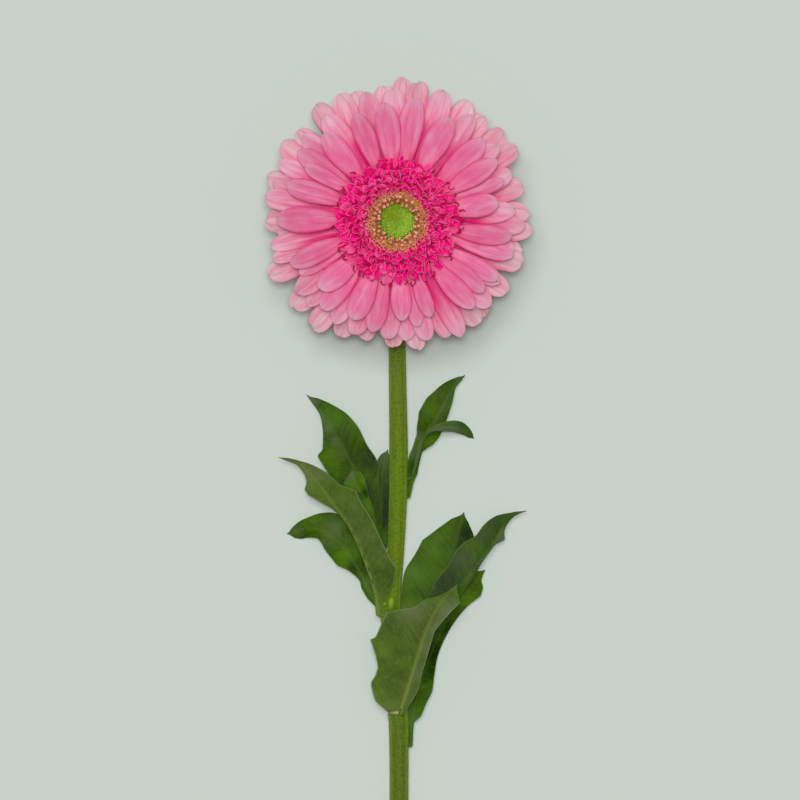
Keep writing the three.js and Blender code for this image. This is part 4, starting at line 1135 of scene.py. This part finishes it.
LEAVES["leaf_upper_left_low"] = dict(
    slope=[-0.12, 0.05], curl=[-0.08, -0.12], wave=0.35,
    midrib=[
        [-8.4, -160, 3.4], [-12.6, -151.5, 4], [-19, -140, 4.4], [-24.5, -133, 4.6], [-31, -128.4, 4.2],
        [-38, -127.6, 2.8], [-45.9, -130.1, 0.5],
    ],
    left={
        0: 0.8, 0.1: 2.4, 0.17: 2.5, 0.22: 1.8, 0.32: 3.5, 0.44: 6.9, 0.53: 7, 0.6: 6.5, 0.67: 5.2,
        0.75: 4.1, 0.89: 4.1, 0.96: 2.6, 1: 0.5,
    },
    right={
        0: 0.8, 0.1: 2.1, 0.32: 3.7, 0.44: 5, 0.6: 7.9, 0.67: 8.7, 0.75: 6.6, 0.82: 4.5, 0.89: 3,
        0.96: 1.4, 1: 0.5,
    },
    tones=[
        [-35.5, -125.5, 4, 0.35, 0], [-43, -128.5, 3, 0.2, 0.4], [-28.5, -133.5, 4, 0.2, 0.35],
        [-22.5, -139.5, 3.5, 0.7, 0], [-17.5, -144.5, 3.5, -0.6, 0], [-12.8, -151, 3, 0.3, 0.3],
        [-26, -127, 4, 0, 0.35], [-39, -131, 3, -0.3, 0.1],
    ],
)
LEAVES["leaf_upper_left_small"] = dict(
    slope=[-0.1, 0.3], curl=[0, 0], wave=0.1,
    midrib=[
        [-5.8, -150, 5.2], [-7.8, -136, 5.6], [-10.5, -121, 6.2], [-14.5, -113, 6.7], [-17.3, -107.5, 7],
        [-19, -103.3, 7],
    ],
    teeth=[0.91, 0.965],
    left={0: 0.8, 0.34: 0.8, 0.68: 2.6, 0.82: 3.4, 0.91: 5.7, 0.965: 2.4, 1: 0.5},
    right={0: 0.6, 0.34: 0.6, 0.53: 0.8, 0.68: 1.4, 0.82: 3, 0.91: 3.6, 0.965: 3.2, 1: 0.9},
    tones=[
        [-20, -105, 2.6, 0.1, 0.9], [-19.5, -109, 2.2, 0.9, 0.1], [-14.5, -107.5, 3, 0.8, 0],
        [-13.9, -113.5, 2.2, -0.8, 0], [-10, -118, 4, 0.4, 0.1], [-16.5, -111.5, 2, 0.5, 0],
    ],
)
LEAVES["leaf_upper_tucked"] = dict(
    slope=[0, 0], curl=[0, 0], wave=0.1,
    midrib=[
        [-6.3, -143, 1.5], [-6.7, -128, 1.3], [-6.6, -115, 1.3], [-5.9, -104, 1.4], [-3.9, -94.8, 1.6],
    ],
    left={0: 0.8, 0.3: 2.4, 0.55: 3.2, 0.8: 3.2, 0.9: 3, 1: 0.4},
    right={0: 0.6, 0.3: 3.6, 0.55: 4.2, 0.8: 3.6, 1: 0.4},
    tones=[[-5, -98, 5, 0, 0.55], [-6, -108, 6, -0.5, 0.1], [-6.5, -120, 9, -1, 0]],
)
LEAVES["leaf_upper_right_tall"] = dict(
    slope=[0.16, -0.22], curl=[0.08, -0.05], wave=0.25,
    midrib=[
        [5.4, -115, 3.2], [6.6, -107, 3.4], [8.6, -97, 4], [11.5, -88.7, 4.6], [15.4, -82.8, 4.9],
        [19.2, -76, 4.8], [23, -69, 3.8], [28.4, -63.8, 2.2],
    ],
    left={
        0: 1.3, 0.06: 1.8, 0.14: 2.5, 0.22: 3.3, 0.29: 3.3, 0.37: 2.8, 0.44: 3, 0.51: 5, 0.6: 7.3,
        0.69: 7.3, 0.8: 5.4, 0.9: 2.7, 1: 0.4,
    },
    right={
        0: 0.1, 0.12: 0.7, 0.19: 1.5, 0.34: 1.5, 0.37: 2.5, 0.44: 5.1, 0.51: 5.7, 0.6: 4.8, 0.69: 3.9,
        0.8: 2.7, 0.9: 1, 1: 0.4,
    },
    tones=[
        [17, -72, 4, 0.1, 0.2], [11.7, -79, 4, 0.3, 0.15], [26, -66, 3, -0.1, 0.5],
        [14.6, -92, 3.5, 0.7, 0], [7.8, -89.5, 2.5, 0, 0.8], [5.5, -96, 3, -0.1, 0.7],
        [7.5, -101, 3, -0.5, 0], [6.5, -109, 4, 0.2, 0],
    ],
    right_tones=[
        [18.8, -77, 2.6, -0.3, 0.6], [16, -81.5, 2.6, -0.4, 0.45], [22, -72, 2.4, -0.1, 0.4],
        [22, -76, 3, 0.2, 0],
    ],
)
LEAVES["leaf_upper_right_arched"] = dict(
    slope=[0.2, -0.5], curl=[0, 0], wave=0.1, rib=0.25,
    midrib=[
        [6, -107, 5.2], [8.2, -99.5, 6.4], [10.2, -91.6, 7.8], [13.4, -87.2, 8.7], [18.5, -85.3, 8.8],
        [24, -85, 7.2], [28.4, -86.6, 4], [32.2, -90.3, 0.5],
    ],
    left={0: 0.2, 0.3: 0.8, 0.49: 0.9, 0.63: 1.7, 0.78: 2.4, 0.91: 1.4, 1: 0.4},
    right={0: 0.6, 0.3: 0.8, 0.49: 0.9, 0.63: 2.2, 0.78: 2.6, 0.91: 1.9, 1: 0.4},
    tones=[
        [10, -96, 6, 0.2, 0.75], [15.8, -85.2, 3.5, 0.2, 0.85], [23.5, -84, 4, -0.1, 0.5],
        [29, -88, 3, -0.2, 0.3],
    ],
    right_tones=[[22, -87, 5, 0.3, 0.7]],
)
LEAVES["leaf_lower_right_broad"] = dict(
    slope=[-0.1, -0.08], curl=[-0.03, 0], wave=0.35,
    midrib=[
        [6.4, -199, 4.6], [7.2, -184.6, 4.7], [10.4, -170, 4.6], [16.5, -155.4, 4.2], [22.5, -141, 3.2],
        [25.8, -130, 1.8], [28, -121.1, 0.6],
    ],
    teeth=[0.43, 0.8],
    left={
        0: 0.8, 0.12: 4, 0.26: 7.8, 0.34: 10.2, 0.43: 12.4, 0.48: 13.4, 0.54: 15, 0.61: 16, 0.69: 15,
        0.8: 13.9, 0.88: 9.2, 0.95: 4.6, 1: 0.5,
    },
    right={0: 0.8, 0.26: 3.4, 0.43: 5.6, 0.61: 6.8, 0.8: 7.6, 0.88: 6.8, 0.95: 3, 1: 0.5},
    tones=[[25.5, -125, 4, 0.1, 0.05]],
    left_tones=[
        [15, -133, 6, 0.5, 0.2], [6, -147, 5, 0.5, 0.3], [13, -143, 5, -0.1, 0], [4.5, -163, 5, 0.8, 0.35],
        [15, -155, 5, -0.3, 0],
    ],
    right_tones=[[29, -130, 5, -0.9, 0], [24, -141, 6, -1, 0], [18, -155, 8, -0.9, 0]],
)
LEAVES["leaf_lower_right_long"] = dict(
    slope=[0.05, -0.5], curl=[0.05, 0], wave=0.3, rib=0.3,
    midrib=[
        [4.8, -201.5, 7], [8.6, -186, 7.4], [13.4, -170, 8], [20.4, -159, 8.2], [27.5, -150.2, 7.8],
        [34, -142, 7], [39.5, -134.8, 6.2], [45, -125.6, 5.4], [48.8, -122, 4.9], [54, -120.5, 4.2],
    ],
    teeth=[0.5, 0.67, 0.83],
    left={
        0: 0.6, 0.14: 0.8, 0.3: 2.4, 0.4: 5.4, 0.5: 9, 0.6: 9.2, 0.67: 10.6, 0.72: 9.6, 0.78: 7.7,
        0.83: 7.3, 0.86: 6.4, 0.89: 4.8, 0.95: 0.9, 1: 0.4,
    },
    right={
        0: 0.6, 0.14: 1.2, 0.3: 3.2, 0.4: 4, 0.5: 3, 0.6: 2.4, 0.72: 1, 0.78: 0.9, 0.83: 3.6, 0.86: 1.7,
        0.89: 1.1, 1: 0.4,
    },
    tones=[
        [40, -126, 5, -0.2, 0.15], [27, -140, 6, -0.5, 0.5], [20, -150, 6, -0.9, 0.2],
        [35, -131, 4, -0.2, 0.3], [51, -121, 4, 0, 0.4], [16, -158, 5, -0.6, 0.1],
    ],
    right_tones=[[44, -131, 4.5, 0.4, 0.95], [37, -139, 4, 0.1, 0.5], [30, -147, 5, 0, 0.4]],
)
LEAVES["leaf_lower_front"] = dict(
    underside=True, slope=[-0.06, 0.5], curl=[-0.02, 0], wave=0.45, rib=0.9,
    midrib=[
        [1.2, -205.2, 9.4], [4.6, -194.6, 10.4], [8.6, -181.7, 12], [12.3, -170.4, 13.2],
        [16, -162.2, 13.8], [20, -156.4, 13.6], [25.4, -151, 12.2],
    ],
    teeth=[0.43, 0.62, 0.92],
    left={
        0: 6.6, 0.03: 11, 0.07: 13, 0.15: 15.4, 0.21: 14.6, 0.25: 14.6, 0.32: 16.4, 0.43: 21.2, 0.46: 19.4,
        0.53: 18.8, 0.62: 18.3, 0.67: 13.4, 0.72: 8.2, 0.78: 6.2, 0.85: 2.4, 0.92: 0.7, 1: 0.4,
    },
    right={
        0: 1.4, 0.07: 2.6, 0.21: 4.1, 0.32: 3.8, 0.46: 3.6, 0.62: 3.3, 0.72: 4.8, 0.85: 6, 0.92: 6.4,
        0.955: 3, 1: 0.4,
    },
    tones=[[3, -160, 6, -0.1, 0.4]],
    left_tones=[
        [-7.7, -197, 4, 0.5, 0], [-4, -180, 7, 0.1, 0], [2, -172, 7, -0.15, 0], [-8, -176, 4, 0.2, 0],
        [8, -162, 5, -0.1, 0.4],
    ],
    right_tones=[
        [22, -163, 5, 0.3, 0.9], [17, -170, 4, 0.1, 0.8], [12.5, -178, 4, 0, 0.6], [8, -188, 5, -0.2, 0.5],
        [5, -198, 4, -0.2, 0.4],
    ],
)
LEAVES["leaf_lower_right_edge"] = dict(
    slope=[0.05, 0.12], curl=[0, 0.15], wave=0.2, rib=0.2,
    midrib=[
        [5.9, -218.5, 3.6], [6.4, -209, 3.4], [8.4, -198, 2.6], [11.6, -187.5, 1.6], [16.6, -175, 1],
        [23, -163.8, 1], [29.6, -155, 1.4], [36.7, -145.2, 2.4],
    ],
    teeth=[0.24, 0.88],
    left={0: 1.8, 0.11: 2.9, 0.3: 2.6, 0.5: 2.8, 0.79: 3.6, 0.92: 4.4, 0.97: 3.6, 1: 0.5},
    right={
        0: 0.5, 0.11: 0.6, 0.16: 3.2, 0.24: 4.5, 0.3: 5.5, 0.39: 4.3, 0.5: 2.8, 0.63: 2.5, 0.79: 3.1,
        0.88: 4.9, 0.92: 3.7, 0.95: 1.2, 1: 0.5,
    },
    tones=[
        [16, -180, 5, -0.9, 0], [14, -188, 4, -0.7, 0], [14, -196, 4, 0.2, 0], [22, -170, 5, -0.6, 0],
        [30, -158, 5, 0.4, 0], [35, -149, 3, 0.4, 0], [8.5, -193, 2, 0.9, 0.1], [8, -208, 4, 0.2, 0.3],
    ],
)
# Small things where the leaves leave the scape: [root, turn in degrees, length, radius, look], where the
# looks are bud and scar
NODE_DETAILS = [
    [[-5.1, -160.6, 7.4], 100, 2.4, 0.9, 0],
    [[-2.7, -163, 8], 86, 6.5, 1.6, 0],
    [[-3.4, -204.9, 8.6], 4, 5.4, 0.9, 1],
    [[-3, -204.6, 4.6], 262, 3, 0.7, 1],
]
MARGIN_WAVES = 3
LEAF_ROWS = 150
LEAF_COLUMNS = 35
NECK_ROWS = 5
NECK_THICKENING = 0.15
LEAF_HALF_THICKNESS = 0.2
LEAST_HALF_THICKNESS = 0.06
VEIN_GAP = 5.5  # between side veins along the midrib
VEIN_SLANT = 0.8  # how far along the midrib a side vein runs for each millimetre outwards
VEIN_WIDTH = 0.35
VEIN_HEIGHT = 0.04
RIB_WIDTH = 0.6
RIB_RELIEF = 0.28
QUILTING = 0.08  # how far the leaf bulges between its side veins


def leaf_shape(leaf):
    """The leaf's middle surface and what its painting needs: (middle, shares, u, across, veins)."""
    shares = np.linspace(0, 1, LEAF_ROWS)
    down = shares[:, None]
    u = np.linspace(1, -1, LEAF_COLUMNS)
    u = np.sign(u) * np.abs(u) ** 0.9
    midrib = Curve(leaf["midrib"])
    centre = midrib.evenly(shares)
    heading = np.gradient(centre, axis=0)
    out = unit(np.stack([-heading[:, 1], heading[:, 0], np.zeros(LEAF_ROWS)], axis=1))
    taper = 1 - 0.7 * smoothstep(0.95, 1, shares)
    teeth = leaf.get("teeth", ())
    wide = [(smooth_through(leaf[side], shares, teeth) * taper)[:, None] for side in ("left", "right")]
    left = u >= 0
    side = np.where(left, 1, -1)
    across = np.where(left, *wide) * np.abs(u)
    ripple = leaf["wave"] * np.sin(TURN * MARGIN_WAVES * down + side) * u**2
    curl = np.where(left, *leaf["curl"]) * across * np.abs(u)
    middle = centre[:, None] + out[:, None] * (side * across)[..., None]
    middle[..., 2] += np.where(left, *leaf["slope"]) * across + curl + ripple * np.minimum(1, across / 5)
    veins = (down * midrib.length - VEIN_SLANT * across) / VEIN_GAP + 0.3 * side
    return middle, shares, u, across, veins


def painted_tones(leaf, middle, u):
    """The painted light and shade and the painted grey sheen at each point of the leaf, from its soft
    spots.
    """
    painted_shading, painted_sheen = np.zeros((2, *middle.shape[:2]))
    left_share = smoothstep(-0.05, 0.05, u)
    for key, share in (("tones", 1), ("left_tones", left_share), ("right_tones", 1 - left_share)):
        for x, y, reach, lighter, more_sheen in leaf.get(key, ()):
            near = share * bump(middle[..., 0], x, reach) * bump(middle[..., 1], y, reach)
            painted_shading += lighter * near
            painted_sheen += more_sheen * near
    return np.clip(painted_shading, -1, 1), np.clip(painted_sheen, 0, 1)


def leaf_neck(root):
    """Rows that carry the first row of a leaf into the scape, so that the leaf grows from it."""
    y = root[:, 1].mean() - 1.5
    line_x, line_y, line_radius = scape_curve.at(scape_curve.steps).T
    x, radius = (np.interp(y, line_y, column) for column in (line_x, line_radius))
    inside = [x, y, radius * FLAT_SHARE] + (root - root.mean(axis=0)) * 0.5
    shares = np.linspace(0, 1, NECK_ROWS, endpoint=False)[:, None, None]
    return inside + (root - inside) * smoothstep(0, 1, shares)


def with_neck(values, more=0):
    """The values of a leaf's rows, after rows for its neck that repeat the first one and add more."""
    return np.concatenate([np.repeat(values[:1], NECK_ROWS, axis=0) + more, values])


def make_leaf(name, leaf, materials):
    middle, shares, u, across, veins = leaf_shape(leaf)
    # painted light and shade and painted grey sheen, from the leaf's spots
    painted_shading, painted_sheen = painted_tones(leaf, middle, u)
    rib = bump(across, 0, RIB_WIDTH) * (1 - 0.75 * shares[:, None])
    phase = veins - np.floor(veins) - 0.5
    flatness = np.minimum(1, across / 2.5) * (1 - u**4)
    ridge = bump(np.abs(phase), 0.5, VEIN_WIDTH / VEIN_GAP) * flatness
    turned_over = leaf.get("underside", False)
    up = -1 if turned_over else 1
    relief = -up * (VEIN_HEIGHT * ridge + RIB_RELIEF * rib)
    half = LEAF_HALF_THICKNESS * (1 - 0.6 * u**6)
    above = half + relief + (0.15 * rib if turned_over else 0)
    below = half - relief + (0 if turned_over else 0.35 * rib)
    middle[..., 2] += up * QUILTING * np.cos(math.pi * phase) ** 2 * flatness
    thick = (with_neck(part, NECK_THICKENING) for part in (above, below))
    above, below = (np.maximum(part, LEAST_HALF_THICKNESS) for part in thick)
    middle = np.concatenate([leaf_neck(middle[0]), middle])
    points, top, bottom, rim = blade(middle, above, below)
    pale = np.clip(rib * leaf.get("rib", 0.5), 0, 1)
    columns = np.broadcast_arrays(shares[:, None], u, veins, painted_shading, painted_sheen, pale)
    values = np.stack([with_neck(column).ravel() for column in columns], axis=1)
    shell = Shell("along", "across", "veins", "painted_shading", "painted_sheen", "rib")
    shell.cover(bottom, 0 if turned_over else 1)
    shell.add(points, [top], np.tile(values, (2, 1)), 1 if turned_over else 0, rim)
    return shell.to_object(name.replace("leaf", "blade"), materials)


def make_node_details():
    """Two small buds in the upper leaf axils, and a scale and a pale scar at the lower place."""
    shell = Shell("along", "across", "tint")
    for root, turn, length, radius, look in NODE_DETAILS:
        heading = on_axis(math.radians(turn), 1, 0, 0.1)
        spikes(shell, [root], [heading], [length], [radius], [0], ROUND_BUD, look, 10)
    return shell.to_object("node_details", [bud_material("axil_buds"), bud_material("leaf_scar")])


# Dressing: every piece rides on the plant, and most stand for a CAD node

def stands_for(piece, slot, *nodes):
    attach(piece, "root")
    if nodes:
        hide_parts(*nodes)


stands_for(make_scape(), "scape", "scape")
stands_for(make_stem_down(), "scape")
stands_for(make_involucre(), "bracts", "involucre")
for node, whorl in WHORLS.items():
    petals = node.replace("ray_", "")
    stands_for(make_whorl(petals, whorl), petals, node)
stands_for(make_trans_florets(), "trans_florets", "trans_florets")
stands_for(make_disc_ring(), "disc_florets", "disc_florets")
stands_for(make_disc_centre(), "disc_centre", "disc_centre")
# [dark and light ends of the painted light and shade, painted grey sheen, vein] for the upper and the
# under side
top_tones = [(16, 40, 0), (72, 108, 8), (84, 98, 66), (88, 116, 36)]
under_tones = [(46, 68, 20), (90, 114, 40), (102, 114, 78), (116, 134, 58)]
leaf_materials = [
    leaf_material("leaf_top", *top_tones, rough=0.45, relief=0.14, edge=0.35),
    leaf_material("leaf_under", *under_tones, rough=0.6, relief=0.17, edge=0.6),
]
for node, leaf in LEAVES.items():
    leaf_slot = "leaf_under" if leaf.get("underside") else "leaf_top"
    stands_for(make_leaf(node, leaf, leaf_materials), leaf_slot, node)
stands_for(make_node_details(), "scape")


# The pale surface, the light and the camera, in metres

FLOOR_SIZE = 3
FLOOR_DROP = 0.0002  # keeps the surface clear of the undersides that lie on it
SKY_SHARE = 0.18  # of the light on the floor comes from all round, the rest from two soft lamps
# [name, share of the light on the floor, degrees towards +X and +Y, width in degrees]
LAMPS = [["overhead_lamp", 0.44, [0, 2], 8], ["leaning_lamp", 0.38, [-4, 13], 24]]


def make_floor():
    mesh = bpy.data.meshes.new("floor")
    sides = [(-1, -1), (1, -1), (1, 1), (-1, 1)]
    corners = [(FLOOR_SIZE * x, FLOOR_SIZE * y, -FLOOR_DROP) for x, y in sides]
    mesh.from_pydata(corners, [], [(0, 1, 2, 3)])
    paint = Paint("floor", 0)
    paint.tone = (200, 211, 203)
    mesh.materials.append(paint.finish(0.95))
    add_to_scene("floor", mesh)


def make_light():
    world = bpy.data.worlds.new("studio")
    world.use_nodes = True
    background = world.node_tree.nodes["Background"]
    background.inputs["Color"].default_value = srgb(255, 255, 255)
    background.inputs["Strength"].default_value = SKY_SHARE
    bpy.context.scene.world = world
    for name, share, lean, width in LAMPS:
        lamp = bpy.data.lights.new(name, "SUN")
        lamp.angle = math.radians(width)
        lean_x, lean_y = (math.radians(angle) for angle in lean)
        lamp.energy = math.pi * share / (math.cos(lean_x) * math.cos(lean_y))
        add_to_scene(name, lamp).rotation_euler = (-lean_y, lean_x, 0)


def make_camera():
    """A camera that looks straight down, with the photograph's scale over the bloom's centre."""
    data = bpy.data.cameras.new("camera")
    data.sensor_width = 36
    data.lens = LENS
    distance = FRAME_PIXELS * PIXEL / data.sensor_width * LENS
    x = (FRAME_PIXELS / 2 - BLOOM_PIXEL[0]) * PIXEL
    y = (BLOOM_PIXEL[1] - FRAME_PIXELS / 2) * PIXEL
    camera = add_to_scene("camera", data)
    camera.location = to_frame([x, y, VIEW_HEIGHT + distance])
    data.clip_end = 2 * camera.location.z
    bpy.context.scene.camera = camera
    bpy.context.scene.view_settings.view_transform = "Standard"


make_floor()
make_light()
make_camera()
